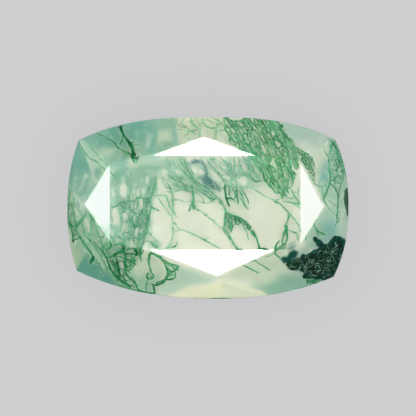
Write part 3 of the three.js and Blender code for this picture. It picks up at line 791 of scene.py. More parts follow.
LEFT_EDGE = {
    "rim": (0.6, 1.7, [(70.3, 188), (69.8, 196), (69.2, 205), (69.2, 212), (69, 218), (69, 222), (70.3, 226),
        (72.5, 228)]),
    "chain": (0.5, 1.7, [(71.5, 201), (73.3, 208), (75, 214), (76.5, 222), (78, 230), (80, 235.5)]),
    "chain_low": (0.6, 1.9, [(80, 235.5), (84, 241), (88, 246), (91.5, 251), (94, 256)]),
    "clasp": (0.85, 2.2, [(70, 221), (72, 225), (74.6, 226.5)]),
    "drop": (0.68, 1.9, [(72, 228), (73, 234), (73.3, 240)]),
    "drop_blob": (0.95, 3.6, [(73, 239.5), (73.8, 242)]),
    "chain_b": (0.52, 1.3, [(76.5, 227), (75.5, 233), (74.3, 239)]),
    "chain_c": (0.6, 1.6, [(74.5, 240), (78, 238), (81, 236)]),
    "branch_a": (0.55, 2, [(77, 226.5), (81, 222, 2.4), (84, 217), (87.5, 213, 1.4)]),
    "oval_left": (0.36, 1.5, [(86, 216), (84, 222), (85, 230), (88, 238)]),
    "oval_right": (0.38, 1.7, [(88.7, 210), (92.3, 216), (93.2, 224), (91.5, 232), (88, 238)]),
    "branch_d": (0.55, 1.4, [(82, 240), (87.5, 247.5), (91, 252.5)]),
    "branch_e": (0.55, 1.5, [(95, 240), (99, 246), (104, 252), (107, 257)]),
    "sash_a": (0.4, 2, [(94, 214), (96.5, 224), (99.5, 233), (104, 243), (110.5, 256)]),
    "sash_b": (0.42, 1.3, [(87.5, 236), (95, 245), (101, 254), (105.5, 263), (112, 276), (119.5, 284)]),
    "sash_c": (0.3, 1.4, [(98, 225), (105, 228), (111, 235), (117, 242)]),
    "sash_d": (0.34, 1.4, [(98, 244), (103, 238), (108, 231), (110, 224)]),
    "sash_e": (0.3, 1.2, [(84, 232), (92, 234), (99, 236), (106, 236)]),
    "sash_f": (0.36, 1.3, [(104, 243), (108, 250), (110, 256)]),
    "blob": (0.92, 3.2, [(93.5, 254.5, 2.2), (94, 257.5, 3.4), (91.5, 261, 3.4), (90.7, 264, 2.4)]),
    "low_a": (0.58, 1.5, [(95, 260), (98, 262.3), (101.3, 262)]),
    "low_b": (0.56, 1.1, [(99, 262), (101, 267), (104, 271)]),
    "low_c": (0.56, 1.1, [(104, 271), (102, 274), (100.3, 277)]),
    "rim_net_a": (0.4, 1.1, [(70.5, 204), (73, 209), (72, 215), (70, 219)]),
    "rim_net_b": (0.35, 1.1, [(73, 194), (76, 198), (74, 203), (71.5, 206)]),
}

# Outlines of the webs of fine moss

BAND_EDGE = [(221, 117), (224.5, 130), (228, 143), (238, 152), (251, 161), (259, 171), (265, 181),
    (272, 191), (283, 200), (290, 190), (294.5, 180), (297, 170), (299.5, 160), (297.5, 150),
    (292, 141.5), (285, 130), (279, 117)]
LOBE_EDGE = [(295, 146), (303, 151), (311.5, 155), (315, 168), (314, 184), (308, 180), (302.5, 167),
    (298, 156)]
COLUMN_EDGE = [(130, 193), (136, 199), (139, 187), (146, 197), (155.5, 184), (152.5, 200), (151, 215),
    (149, 230), (142, 252), (134, 250), (128, 228), (125, 202)]
COLUMN_TOP = [(113, 174), (130, 165), (160, 165), (157, 188), (146, 198), (128, 204), (114, 200)]
COLUMN_WEST = [(113, 188), (131, 184), (128, 205), (129, 228), (133, 246), (122, 250), (113, 244)]
LEFT_HAZE = [(71, 188), (84, 186), (92, 196), (86, 204), (108, 238), (112, 238), (126, 240), (126, 250),
    (108, 256), (92, 250), (76, 232)]
LEFT_DEEP = [(66, 182), (78, 176), (93, 172), (104, 170), (113, 172), (128, 170), (131, 250), (112, 262),
    (90, 254), (74, 246), (67, 226)]
TOP_LOOPS = [(176, 118), (226, 118), (231, 148), (204, 141), (184, 148), (174, 150)]
TANGLE_EDGE = [(160, 158), (258, 157), (262, 180), (240, 188), (218, 198), (190, 192), (164, 184)]
SKIRT_EDGE = [(228, 157), (262, 157), (268, 172), (262, 180), (254, 183), (246, 176), (236, 172), (228, 168)]
CAP_EDGE = [(327, 139), (337, 142), (346, 171), (341, 186), (331, 186), (328, 160)]
CLUMP_EDGE = [(107, 257), (119, 252), (127, 250), (140, 246), (141, 256), (137, 264), (131, 268), (139, 289),
    (122, 286), (112, 272)]
RIM_EDGE = [(69, 188), (75.5, 190), (77, 215), (80, 232), (74, 241), (69, 226)]
PATCH_EDGE = [(224, 211), (232, 214), (241, 217), (252, 226), (249, 230), (240, 225.5), (233, 227),
    (231, 232), (226, 224)]
UNDER_BAND = [(220, 116), (284, 118), (268, 140), (258, 168), (212, 166), (214, 140)]
UNDER_WEST = [(66, 186), (68, 240), (96, 250), (126, 236), (124, 204), (100, 190)]
UNDER_SOUTH = [(98, 280), (160, 300), (172, 262), (150, 250), (122, 252)]
UNDER_EAST = [(340, 140), (350, 170), (350, 215), (318, 222), (292, 200), (300, 168)]
CURLS_EDGE = [(342, 245), (337, 243), (331, 245), (325, 248), (319, 250), (313, 252), (307, 256), (301, 257),
    (294, 259), (288, 260), (289, 265), (297, 266), (305, 269), (306.5, 275), (316, 275), (326, 277),
    (331, 274), (336, 263), (341, 254)]

# Webs of fine moss: tone at the top and at the bottom, thread width, size of an opening across and
# along the grain, the grain's turn in degrees, the share of links left out, the outline, and the
# share of openings that are filled with moss
Web = namedtuple("Web", "tone low_tone width across along turn left_out outline filled", defaults=(0,))
WEBS = {
    "band": Web(0.44, 0.26, 2.1, 3.2, 8, 62, 0.05, BAND_EDGE, 0.5),
    "band_lines": Web(0.74, 0.56, 0.8, 2.8, 7, 60, 0.4, BAND_EDGE),
    "lobe": Web(0.2, 0.3, 1.3, 2.6, 5, 66, 0.08, LOBE_EDGE, 0.18),
    "lobe_lines": Web(0.56, 0.66, 0.75, 2.2, 4.6, 64, 0.15, LOBE_EDGE),
    "column": Web(0.04, 0.08, 1.6, 3.6, 7, 95, 0.1, COLUMN_EDGE, 0.08),
    "column_lines": Web(0.38, 0.5, 0.75, 3.2, 5.8, 95, 0.3, COLUMN_EDGE),
    "column_west": Web(0, 0.06, 1, 4.8, 9, 88, 0.35, COLUMN_WEST),
    "column_west_lines": Web(0.16, 0.32, 0.7, 4.4, 8.5, 88, 0.6, COLUMN_WEST),
    "column_top": Web(0.2, 0.2, 2.2, 5, 8, 92, 0.1, COLUMN_TOP, 0.3),
    "left": Web(0.3, 0.36, 3, 6.2, 11, 78, 0.1, LEFT_DEEP, 0.15),
    "left_lines": Web(0.34, 0.46, 0.95, 5.5, 10, 62, 0.4, LEFT_HAZE),
    "loops": Web(0.25, 0.3, 2, 5.5, 8, 70, 0.15, TOP_LOOPS, 0.1),
    "loops_lines": Web(0.16, 0.2, 1.1, 5, 7, 65, 0.7, TOP_LOOPS),
    "tangle": Web(0.24, 0.28, 2, 5.5, 12, 58, 0.2, TANGLE_EDGE, 0.2),
    "tangle_lines": Web(0.18, 0.24, 0.85, 5, 11, 56, 0.55, TANGLE_EDGE),
    "skirt": Web(0.1, 0.2, 0.9, 3.2, 8.2, 64, 0.15, SKIRT_EDGE),
    "patch": Web(0.5, 0.56, 0.95, 2.4, 3.6, 40, 0.1, PATCH_EDGE, 0.3),
    "cap": Web(0.24, 0.24, 1.3, 5.6, 9, 76, 0.2, CAP_EDGE, 0.05),
    "cap_lines": Web(0.5, 0.52, 0.8, 5.2, 8.4, 76, 0.45, CAP_EDGE),
    "clump": Web(0.3, 0.36, 0.8, 4.6, 7, 62, 0.4, CLUMP_EDGE),
    "clump_lines": Web(0.66, 0.82, 0.85, 4, 6.4, 62, 0.4, CLUMP_EDGE),
    "rim": Web(0.24, 0.34, 1.1, 3.4, 5, 85, 0.15, RIM_EDGE),
    "rim_lines": Web(0.42, 0.56, 0.7, 3.2, 4.6, 88, 0.4, RIM_EDGE),
    "under_band": Web(0.42, 0.42, 2, 4.4, 9.5, 100, 0.12, UNDER_BAND, 0.2),
    "under_band_lines": Web(0.74, 0.74, 1, 4.2, 10, 98, 0.4, UNDER_BAND),
    "under_west": Web(0.34, 0.34, 1.9, 5.5, 8, 10, 0.25, UNDER_WEST),
    "under_west_lines": Web(0.6, 0.6, 1, 5, 9, 8, 0.45, UNDER_WEST),
    "under_south": Web(0.44, 0.44, 1.8, 5, 8, 75, 0.2, UNDER_SOUTH),
    "under_south_lines": Web(0.76, 0.76, 1.1, 4.8, 8, 72, 0.4, UNDER_SOUTH),
    "under_east": Web(0.3, 0.3, 1.6, 8, 14, 170, 0.4, UNDER_EAST),
    "under_east_lines": Web(0.6, 0.6, 1, 7, 12, 165, 0.5, UNDER_EAST),
    "deep_curls": Web(0.3, 0.36, 1, 2.6, 3.8, 70, 0.3, CURLS_EDGE),
}

# Where the milk is mottled: outline and strength
MOTTLED = [
    (LEFT_DEEP, 0.55),
    (TANGLE_EDGE, 0.35),
    ([(82, 139), (120, 110), (176, 104), (176, 146), (110, 168)], 0.16),
    ([(318, 138), (350, 138), (350, 230), (322, 215)], 0.25),
]

# Open eyes in the webs: place, half width across the grain and along it, and how brightly the milk
# shows in it
EYES = {
    "band": [(252, 147.6, 1.6, 3.6, 1), (261.5, 138, 1.2, 3.5, 1), (261.5, 147, 2, 2.2, 1),
        (277.5, 145, 3.2, 3.8, 0.2), (265, 153, 1.4, 4, 1), (292.5, 167.6, 1.8, 4.5, 0.9),
        (284.7, 174, 2.4, 5.5, 0.3), (273, 134, 1.6, 3, 0.8), (272, 165, 1.1, 3.5, 0.9),
        (238, 118.5, 2, 3, 0.9), (284, 156, 1.1, 3, 0.5), (245, 137, 1.1, 3, 0.8), (255, 129, 1, 3, 0.8),
        (268, 176, 1.2, 4, 0.6), (276, 186, 1.2, 4, 0.5), (241, 126, 1, 2.4, 0.5), (266, 127, 1, 2.4, 0.5),
        (289, 152, 1, 3.2, 0.5)],
    "skirt": [(243.5, 167, 2.4, 6.5, 0.9), (254, 171.5, 1.4, 4.2, 1), (260, 161, 1.5, 4, 1),
        (236.5, 160.5, 1.3, 3.2, 1), (250, 160, 1.4, 3.5, 0.9), (249.5, 177, 1.3, 3, 0.9),
        (231, 162, 1.6, 3.6, 0.9)],
    "column": [(142, 204, 2.4, 7.2, 1), (147.6, 180, 1.5, 4, 0.8), (138.7, 192.5, 1.6, 3.4, 0.9),
        (134.7, 191.5, 1.3, 3, 0.8), (143.3, 191.5, 1.4, 3.6, 0.9), (135.3, 219.5, 1.9, 3.2, 0.9),
        (137.3, 231, 2.3, 5.8, 0.9), (149.6, 213, 1.1, 4, 0.5), (145.2, 218.5, 1.5, 3, 0.9),
        (133, 243, 1.6, 3, 0.9), (136, 206, 1.4, 4, 0.5), (142, 230, 1.2, 4, 0.8)],
    "column_west": [(124.2, 190.5, 3.6, 7.6, 0.95), (116.4, 215, 3.6, 8.5, 0.95), (125.3, 216, 1.8, 4, 0.9),
        (123.6, 225, 2.6, 4, 0.8), (114.4, 192, 2, 6, 0.8), (121, 240.5, 3, 1.6, 0.9),
        (113.4, 232, 1.8, 3.4, 0.8), (124, 180, 2, 3.5, 0.4)],
    "clump": [(113.8, 260, 1.5, 4.6, 1), (123, 264, 1.7, 6, 1), (130.6, 250.6, 2.2, 1.9, 1),
        (130.6, 258, 2.2, 2, 1), (133.5, 263.5, 1.8, 2.4, 1), (129, 264.5, 1.4, 1.6, 1),
        (113, 250.5, 2, 3.4, 0.5), (126.6, 269, 1.2, 3.2, 0.9), (119.8, 272, 1.1, 4, 0.8),
        (136, 246.5, 1.4, 1.6, 0.9), (127, 277, 1.2, 4, 0.8)],
    "rim": [(73, 197, 1.2, 3.2, 1), (72.2, 207, 1.1, 3.4, 1), (70.6, 213, 0.9, 2.8, 0.9),
        (75, 203, 0.9, 2.4, 0.8), (72.6, 218, 0.9, 2.6, 0.5)],
    "tangle": [(177, 172.4, 2.6, 2.6, 1), (194.3, 171.5, 2, 4.4, 1), (201.3, 172.8, 2.4, 3.6, 1),
        (215, 175.5, 2.3, 7, 0.85), (165, 172.6, 3, 4, 0.8), (190, 160, 2.6, 4.6, 0.9),
        (198.5, 159.2, 2, 4, 0.8), (223.3, 167.3, 2.2, 3.2, 1), (227.5, 178, 1.8, 3.4, 0.9),
        (242.5, 181.5, 3.2, 4.6, 1), (170, 182, 2.4, 3.4, 0.8)],
    "left": [(88, 224, 3, 8, 0.55), (79, 214, 2.4, 6, 0.45), (84, 205, 3, 5, 0.4), (96, 180, 3, 4, 0.4),
        (97, 241, 1.6, 5, 0.4), (106, 241, 1.8, 3.4, 0.5), (103, 231, 1.8, 3.6, 0.5),
        (107, 223, 1.8, 4, 0.4)],
}

# The dark cluster: its larger lobes, as places, half lengths and turns
CLUSTER_LOBES = {
    "leaf_tip": ((313.9, 238.8), (3.7, 2.4), 46),
    "leaf": ((318.2, 242.6), (5.4, 3.7), 43),
    "leaf_root": ((322.5, 246), (4.4, 3.4), 20),
    "brow": ((310, 253.6), (4.6, 3), -18),
    "bump": ((337, 239.5), (4.8, 4.2), 0),
    "bump_east": ((342.5, 243), (3.2, 4.4), -10),
    "tip_west": ((289, 261), (3.2, 2.4), 0),
    "tip_west_low": ((291.5, 266.5), (3.4, 2.4), 0),
    "tip_low": ((305, 275.5), (3, 3), 0),
    "foot": ((325, 278), (4.4, 2.6), 5),
    "foot_west": ((317, 277.5), (3.8, 2.6), 0),
    "heel": ((333, 273), (3.6, 4.2), -20),
}

# The dark green spot at the stone's right edge
SPOT_EDGE = [(350, 187), (345.6, 188.6), (343.6, 190.6), (344, 194.6), (342.8, 198.6), (344.4, 202.4),
    (344.6, 207), (346.2, 209.6), (346.4, 215), (350, 217)]

# Threads that hang out of the cluster
FROND = {
    "frond_a": (0.8, 2.2, [(306, 277), (309, 280.5), (314, 282.5), (319, 282)]),
    "frond_b": (0.66, 1.8, [(311, 279), (315, 280), (320, 279.5)]),
    "frond_c": (0.76, 1.7, [(307, 279), (307.5, 282), (311, 284)]),
}


# Spinning strands into threads

# Screen colours of moss, from tone 0 to tone 1
MOSS_RAMP = np.array([(194, 224, 192), (144, 202, 162), (98, 170, 120), (54, 136, 86), (22, 96, 54)], float)

# Tints that lie over the ramp
PLAIN = (1.0, 1.0, 1.0)
BAND = (0.97, 1.02, 0.93)
LOOP = (1.02, 1.0, 0.95)
BLUE = (0.96, 1.0, 1.05)
HAZY = (1.05, 1.02, 1.1)
DEEP = (0.84, 0.98, 0.92)

# Steps along a thread and along a hair, in pixels of the photograph, and the gap to the facets
STEP_PX = 1.1
HAIR_STEP_PX = 0.8
SKIN_GAP = 0.02

# How high threads lie between the milk and the facets: dark ones higher, webs at fixed levels
DEEPEST_LEVEL = 0.06
LEVEL_RISE = 0.62
MASS_LEVEL = 0.0
LINE_LEVEL = 0.22

# Tips, beads and side hairs of a thread
TIP_SHARE = 0.6
TIP_STEPS = 3.0
STEPS_PER_BEAD = 15
BEAD_STEPS = 1.2
BEAD_SWELL = 0.3
BEAD_TONE = 0.16
HAIR_TONE = 0.08
HAIR_WIDTHS = (1.1, 0.6)


class Thread:
    """One thread on the bench: its points, its radius and its colour at each."""

    def __init__(self, points, radii, colours):
        self.points = points
        self.radii = radii
        self.colours = colours


def flow(places, step):
    """A smooth curve through given rows of numbers, with a row every step."""
    places = np.array(places, float)
    if len(places) == 2:
        middle = places.mean(axis=0, keepdims=True)
        places = np.concatenate([places[:1], middle, places[1:]])
    before = np.concatenate([2 * places[:1] - places[1:2], places, 2 * places[-1:] - places[-2:-1]])
    rows = []
    for a, b, c, d in zip(before, before[1:], before[2:], before[3:]):
        count = max(2, int(math.hypot(c[0] - b[0], c[1] - b[1]) / step) + 1)
        t = np.linspace(0.0, 1.0, count, endpoint=False)[:, None]
        rows.append(0.5 * (2 * b + (c - a) * t + (2 * a - 5 * b + 4 * c - d) * t ** 2
                           + (3 * b - a - 3 * c + d) * t ** 3))
    rows.append(places[-1:])
    return np.concatenate(rows)


def drift(rng, count, reach, size):
    """A slow random drift along a thread."""
    knots = np.array([rng.uniform(-size, size) for _ in range(int(count / reach) + 3)])
    at = np.arange(count) / reach
    low = at.astype(int)
    share = smooth_step(at - low)
    return knots[low] * (1.0 - share) + knots[low + 1] * share


def screen_moss(tone, tint):
    """The screen colour of moss by tone, with a tint over it."""
    place = np.clip(tone, 0.0, 1.0) * (len(MOSS_RAMP) - 1)
    low = np.minimum(place.astype(int), len(MOSS_RAMP) - 2)
    share = (place - low)[:, None]
    return (MOSS_RAMP[low] * (1.0 - share) + MOSS_RAMP[low + 1] * share) * np.array(tint)


def round_tips(thread):
    """Closes both ends of a thread with a small dome."""
    points, radii, colours = thread.points, thread.radii, thread.colours
    for _ in range(2):
        outward = points[0] - points[1]
        outward = outward / max(np.linalg.norm(outward), 1e-6)
        tips = points[0] + np.outer([0.55, 0.35], outward) * radii[0]
        points = np.concatenate([tips, points])[::-1]
        radii = np.concatenate([[0.0, 0.75 * radii[0]], radii])[::-1]
        colours = np.concatenate([colours[:1], colours[:1], colours])[::-1]
    return Thread(points, radii, colours)


def thread_from_px(px, py, width, tone, rng, tint=PLAIN, height=crown_height, level=None):
    """Lays a strand, given in pixels of the photograph, into the stone."""
    count = len(px)
    along = np.arange(count)
    ends = np.minimum(along, count - 1 - along) / TIP_STEPS
    taper = TIP_SHARE + (1.0 - TIP_SHARE) * smooth_step(ends)
    width = width * taper * (1.0 + drift(rng, count, reach=2.5, size=0.22))
    tones = tone + drift(rng, count, reach=5.0, size=0.12)
    for _ in range(int(count / STEPS_PER_BEAD)):
        bead = np.exp(-((along - rng.uniform(0, count)) / BEAD_STEPS) ** 2)
        width = width * (1.0 + BEAD_SWELL * bead)
        tones = tones + BEAD_TONE * bead
    tones = np.clip(tones, 0.0, 1.0)
    px = px + drift(rng, count, reach=3.0, size=0.4)
    py = py + drift(rng, count, reach=3.0, size=0.4)
    x, y = bench_point(px, py)
    if level is None:
        height_tones = np.clip(tones + drift(rng, count, reach=9.0, size=0.12), 0.0, 1.0)
        level = DEEPEST_LEVEL + LEVEL_RISE * height_tones
    radii = width * MM_PER_PX / 2.0
    points = np.stack([x, y, height(x, y, level)], axis=1)
    points = keep_inside(points, radii + SKIN_GAP)
    return round_tips(Thread(points, radii, under_polish(screen_moss(tones, tint))))


def bent_hair(rng, place, heading, bend, steps, turning=0.0):
    """The places of a short bent hair; now and then it may turn the other way."""
    xs, ys = [place[0]], [place[1]]
    for _ in range(steps):
        xs.append(xs[-1] + HAIR_STEP_PX * math.cos(heading))
        ys.append(ys[-1] + HAIR_STEP_PX * math.sin(heading))
        heading += bend
        if turning and rng.random() < turning:
            bend = -bend
    return np.array(xs), np.array(ys)


def spur(rng, rows, tone, tint):
    """A short bent hair that grows sideways out of a strand."""
    at = rng.randrange(1, len(rows) - 1)
    px, py, width = rows[at]
    along = math.atan2(rows[at + 1][1] - rows[at - 1][1], rows[at + 1][0] - rows[at - 1][0])
    heading = along + rng.choice((-1, 1)) * rng.uniform(0.6, 1.6)
    bend = rng.uniform(-0.5, 0.5)
    xs, ys = bent_hair(rng, (px, py), heading, bend, rng.randint(2, 5))
    thickest, thinnest = HAIR_WIDTHS
    widths = np.linspace(min(width, thickest), thinnest, len(xs))
    return thread_from_px(xs, ys, widths, tone - HAIR_TONE, rng, tint)


def threads_of(strands, seed, tint=PLAIN, steps_per_spur=10):
    """Threads from a named group of strands, with short spurs on them."""
    rng = random.Random(seed)
    threads = []
    for tone, width, places in strands.values():
        full = [(place[0], place[1], place[2] if len(place) > 2 else width) for place in places]
        rows = flow(full, STEP_PX)
        threads.append(thread_from_px(rows[:, 0], rows[:, 1], rows[:, 2], tone, rng, tint))
        if len(rows) > 3:
            for _ in range(int(len(rows) / steps_per_spur + rng.random())):
                threads.append(spur(rng, rows, tone, tint))
    return threads


def round_centre(a, b, c):
    """The middle of the circle through three points."""
    area = 2.0 * (a.x * (b.y - c.y) + b.x * (c.y - a.y) + c.x * (a.y - b.y))
    aa, bb, cc = a.length_squared, b.length_squared, c.length_squared
    u = (aa * (b.y - c.y) + bb * (c.y - a.y) + cc * (a.y - b.y)) / area
    v = (aa * (c.x - b.x) + bb * (a.x - c.x) + cc * (b.x - a.x)) / area
    return Vector((u, v))


# How far a bubble of the foam is moved at random, and the longest wall between two bubbles
FOAM_JITTER = 0.36
LONGEST_WALL = 2.0
# How straight on a link must lead to go on a run, as the cosine of the turn
LEAST_ONWARD = 0.1


def foam(rng, breadth, length):
    """A flat foam of bubbles about one unit in size: bubbles, the corners between them and their walls."""
    seeds = []
    for row in range(int(length) + 3):
        for column in range(int(breadth) + 3):
            seeds.append(Vector((column - 1 + 0.5 * (row % 2) + rng.uniform(-FOAM_JITTER, FOAM_JITTER),
                                 row - 1 + rng.uniform(-FOAM_JITTER, FOAM_JITTER))))
    bubbles, _, triangles, *_ = delaunay_2d_cdt(seeds, [], [], 0, 1e-6)
    corners = [round_centre(*(bubbles[i] for i in triangle)) for triangle in triangles]
    sides = {}
    for index, triangle in enumerate(triangles):
        for pair in zip(triangle, triangle[1:] + triangle[:1]):
            sides.setdefault(tuple(sorted(pair)), []).append(index)
    walls = [tuple(pair) for pair in sides.values() if len(pair) == 2]
    walls = [(i, j) for i, j in walls if (corners[i] - corners[j]).length < LONGEST_WALL]
    return bubbles, corners, walls


def chains(places, links):
    """Joins links end to end, each time along the straightest way on, into long runs."""
    touching = {}
    for number, link in enumerate(links):
        for end in link:
            touching.setdefault(end, []).append(number)
    unused = set(range(len(links)))
    runs = []
    for number in range(len(links)):
        if number not in unused:
            continue
        unused.discard(number)
        run = list(links[number])
        for _ in range(2):
            while True:
                heading = places[run[-1]] - places[run[-2]]
                best, best_turn = None, LEAST_ONWARD
                for candidate in touching[run[-1]]:
                    if candidate not in unused:
                        continue
                    onward = sum(links[candidate]) - run[-1]
                    step = places[onward] - places[run[-1]]
                    size = heading.length * step.length
                    turn = heading.dot(step) / size if size > 0 else -1.0
                    if turn > best_turn:
                        best, best_turn = candidate, turn
                if best is None:
                    break
                unused.discard(best)
                run.append(sum(links[best]) - run[-1])
            run.reverse()
        runs.append(run)
    return runs


def blotch(x, y):
    """A slow wave over the photograph's places, from -1 to 1."""
    return 0.5 * (math.sin(x / 7.3 + 1.1 * math.sin(y / 9.1)) + math.sin(y / 8.2 + 1.3 * math.sin(x / 11.7)))


# A filled opening of a web: its width and half length, as shares of the opening
FILL_WIDTH = 0.75
FILL_LENGTH = 0.3
# How well the outline must cover a link and a filling
LINK_COVER = 0.4
FILL_COVER = 0.9
# No link passes this share of an eye, and no filling comes nearer to it than this
EYE_LINKS = 0.7
EYE_FILLS = 1.3
# How much the tones of a web's threads differ, and how far a thread swells in a blotch
TONE_SPREAD = 0.17
BLOTCH_SWELL = 0.3


def web(name, seed, tints=(PLAIN,)):
    """Threads that run between the openings of a web: thick and soft, or thin lines that lie over them."""
    make = WEBS[name]
    eyes = EYES.get(name.removesuffix("_lines"), ())
    rng = random.Random(seed)
    angle = math.radians(make.turn)
    grain = Vector((math.cos(angle), math.sin(angle)))
    side = Vector((-grain.y, grain.x))
    edge = [Vector(corner) for corner in make.outline]
    low_side, low_grain = min(c.dot(side) for c in edge), min(c.dot(grain) for c in edge)
    breadth = (max(c.dot(side) for c in edge) - low_side) / make.across
    length = (max(c.dot(grain) for c in edge) - low_grain) / make.along

    def laid(spots):
        return [side * (low_side + s.x * make.across) + grain * (low_grain + s.y * make.along) for s in spots]

    def covered(spots):
        return field(np.array([s.x for s in spots]), np.array([s.y for s in spots]), make.outline, 1.0)

    def reach_in(spot, eye):
        """How far out a spot lies in an eye, as a share of the way to its edge."""
        off = spot - Vector(eye[:2])
        return math.hypot(off.dot(side) / eye[2], off.dot(grain) / eye[3])

    def in_an_eye(spot, share):
        return any(reach_in(spot, eye) < share for eye in eyes)

    bubbles, corners, walls = foam(rng, breadth, length)
    bubbles, corners = laid(bubbles), laid(corners)
    for eye in eyes:
        for corner in corners:
            reach = reach_in(corner, eye)
            if 0.01 < reach < 1.0:
                corner += (corner - Vector(eye[:2])) * (1.0 / reach - 1.0)
    cover = covered(corners)
    walls = [(i, j) for i, j in walls
             if min(cover[i], cover[j]) > LINK_COVER and rng.random() > make.left_out
             and not in_an_eye((corners[i] + corners[j]) / 2.0, EYE_LINKS)]
    runs = [([corners[i] for i in chain], make.width) for chain in chains(corners, walls)]
    for bubble, inside in zip(bubbles, covered(bubbles)):
        if inside > FILL_COVER and rng.random() < make.filled and not in_an_eye(bubble, EYE_FILLS):
            reach = grain * make.along * FILL_LENGTH
            runs.append(([bubble - reach, bubble, bubble + reach], make.across * FILL_WIDTH))

    top, bottom = min(c.y for c in edge), max(c.y for c in edge)
    level = LINE_LEVEL if name.endswith("_lines") else MASS_LEVEL
    height = pavilion_height if name.startswith("under") else crown_height
    threads = []
    for run, width in runs:
        lead = width * rng.uniform(0.8, 1.25)
        tint = np.array(rng.choice(tints)) * [rng.uniform(0.94, 1.06), 1.0, rng.uniform(0.94, 1.06)]
        rows = flow([(s.x, s.y, lead * rng.uniform(0.8, 1.25) * (1.0 + BLOTCH_SWELL * blotch(s.x, s.y)))
                     for s in run], STEP_PX)
        px, py, widths = rows.T
        tones = make.tone + (make.low_tone - make.tone) * (py - top) / (bottom - top)
        tones = tones + rng.uniform(-TONE_SPREAD, TONE_SPREAD)
        threads.append(thread_from_px(px, py, widths, tones, rng, tint, height, level))
    return threads


# A round curve of this resolution has six points around it
THREAD_RESOLUTION = 1
THREAD_SIDES = 6
SEAM_GAP = 1e-5


def spin(name, threads):
    """Makes one mesh of round threads, with their colours on it."""
    deselect_all()
    curve = bpy.data.curves.new(name, "CURVE")
    curve.dimensions = "3D"
    curve.bevel_depth = 1.0
    curve.bevel_resolution = THREAD_RESOLUTION
    for thread in threads:
        spline = curve.splines.new("POLY")
        spline.points.add(len(thread.points) - 1)
        places = np.ones((len(thread.points), 4))
        places[:, :3] = thread.points
        spline.points.foreach_set("co", places.ravel())
        spline.points.foreach_set("radius", thread.radii)
    piece = bpy.data.objects.new(name, curve)
    bpy.context.collection.objects.link(piece)
    make_only(piece)
    bpy.ops.object.convert(target="MESH")
    piece = bpy.context.object
    colours = np.concatenate([thread.colours for thread in threads])
    paint(piece, "moss_colour", np.repeat(colours, THREAD_SIDES, axis=0))
    bpy.ops.object.mode_set(mode="EDIT")
    bpy.ops.mesh.select_all(action="SELECT")
    bpy.ops.mesh.remove_doubles(threshold=SEAM_GAP)
    bpy.ops.object.mode_set(mode="OBJECT")
    bpy.ops.object.shade_smooth()
    return piece


def moss_material(name):
    """Green moss with a fine mottle, in which light soaks in a very short way."""
    return painted_stone(name, "moss_colour", mottle=0.2, fleck_scale=4000.0, glow_depth=0.00007)


# What a user can change


class AgateSkinLook(bpy.types.PropertyGroup):
    """The polished skin."""

    ior: bpy.props.FloatProperty(name="IOR", description="How strongly chalcedony bends light",
                                 default=1.54, min=1.0, max=2.5)
    roughness: bpy.props.FloatProperty(name="Roughness", description="How fine the polish is",
                                       default=0.02, min=0.0, max=1.0)
    tint: bpy.props.FloatVectorProperty(name="Tint", description="Colour left after a way through the stone",
                                        default=linear(205, 236, 214), size=4, subtype="COLOR")
    density: bpy.props.FloatProperty(name="Density", description="How fast the tint deepens, per metre",
                                     default=25.0, min=0.0)


class AgateMilkLook(bpy.types.PropertyGroup):
    """The milky inside."""

    rim_depth: bpy.props.FloatProperty(name="Depth at the rim", default=RIM_CLEAR, min=0.02, max=1.0,
                                       description="Clear stone at the girdle, in millimetres")
    mottle: bpy.props.FloatProperty(name="Mottle", description="How strongly the milk is mottled",
                                    default=0.035, min=0.0, max=1.0)
    # Strength of the painted light that offsets the shade between the moss threads
    lift: bpy.props.FloatProperty(name="Lift", default=0.6, min=0.0, max=1.0,
                                  description="How far the milk between the moss is lightened")
    veil_size: bpy.props.FloatProperty(name="Veil size", description="Size of the veils, in millimetres",
                                       default=2.6, min=0.1)


class AgateClusterLook(bpy.types.PropertyGroup):
    """The dark cluster."""

    spacing: bpy.props.FloatProperty(name="Lobe spacing", default=4.4, min=2.0,
                                     description="Distance between lobes, in pixels of the photograph")
    grain: bpy.props.FloatProperty(name="Grain", description="Size of the cluster's voxels, in millimetres",
                                   default=0.035, min=0.01)


class AgateStageLook(bpy.types.PropertyGroup):
    """Floor, light and camera."""

    floor_colour: bpy.props.FloatVectorProperty(name="Floor", description="Colour of the floor",
                                                default=linear(205, 205, 207), size=4, subtype="COLOR")
    floor_glow: bpy.props.FloatProperty(name="Floor glow", default=0.85, min=0.0, max=1.0,
                                        description="Share of the floor's light that is its own")
    zenith: bpy.props.FloatProperty(name="Zenith", description="Strength of the light from above",
                                    default=1.73, min=0.0)
    horizon: bpy.props.FloatProperty(name="Horizon", description="Strength of the light from the sides",
                                     default=0.12, min=0.0)
    hole: bpy.props.FloatProperty(name="Camera hole", description="Strength of the light at the tent's hole",
                                  default=0.1, min=0.0)
    lens: bpy.props.FloatProperty(name="Lens", description="Focal length of the camera, in millimetres",
                                  default=300.0, min=1.0)


# Operators


class AGATE_OT_polish(bpy.types.Operator):
    """Give the CAD stone its polished, see-through skin"""

    bl_idname = "agate.polish"
    bl_label = "Polish the Stone"

    def execute(self, context):
        STONE.data.materials.clear()
        STONE.data.materials.append(polished_agate(context.scene.agate_skin))
        return {"FINISHED"}


def drawn_in(normal, distance, rim):
    """One facet's plane for the milk: drawn in towards the girdle, or set in at the girdle's wall."""
    if abs(normal[2]) <= LEANING:
        return normal, distance - rim
    shrink = CROWN_SHRINK if normal[2] > 0 else PAVILION_SHRINK
    lean = normal[2] / (1.0 - shrink)
    side = math.copysign(RIM_CLEAR, normal[2])
    shifted = distance - normal[2] * GIRDLE_LEVEL - lean * (side - GIRDLE_LEVEL)
    plane = np.array([normal[0], normal[1], lean])
    size = np.linalg.norm(plane)
    return plane / size, shifted / size


MILK_SIZE_IN_REMESH = 0.8
MILK_REMESH_DEPTH = 8


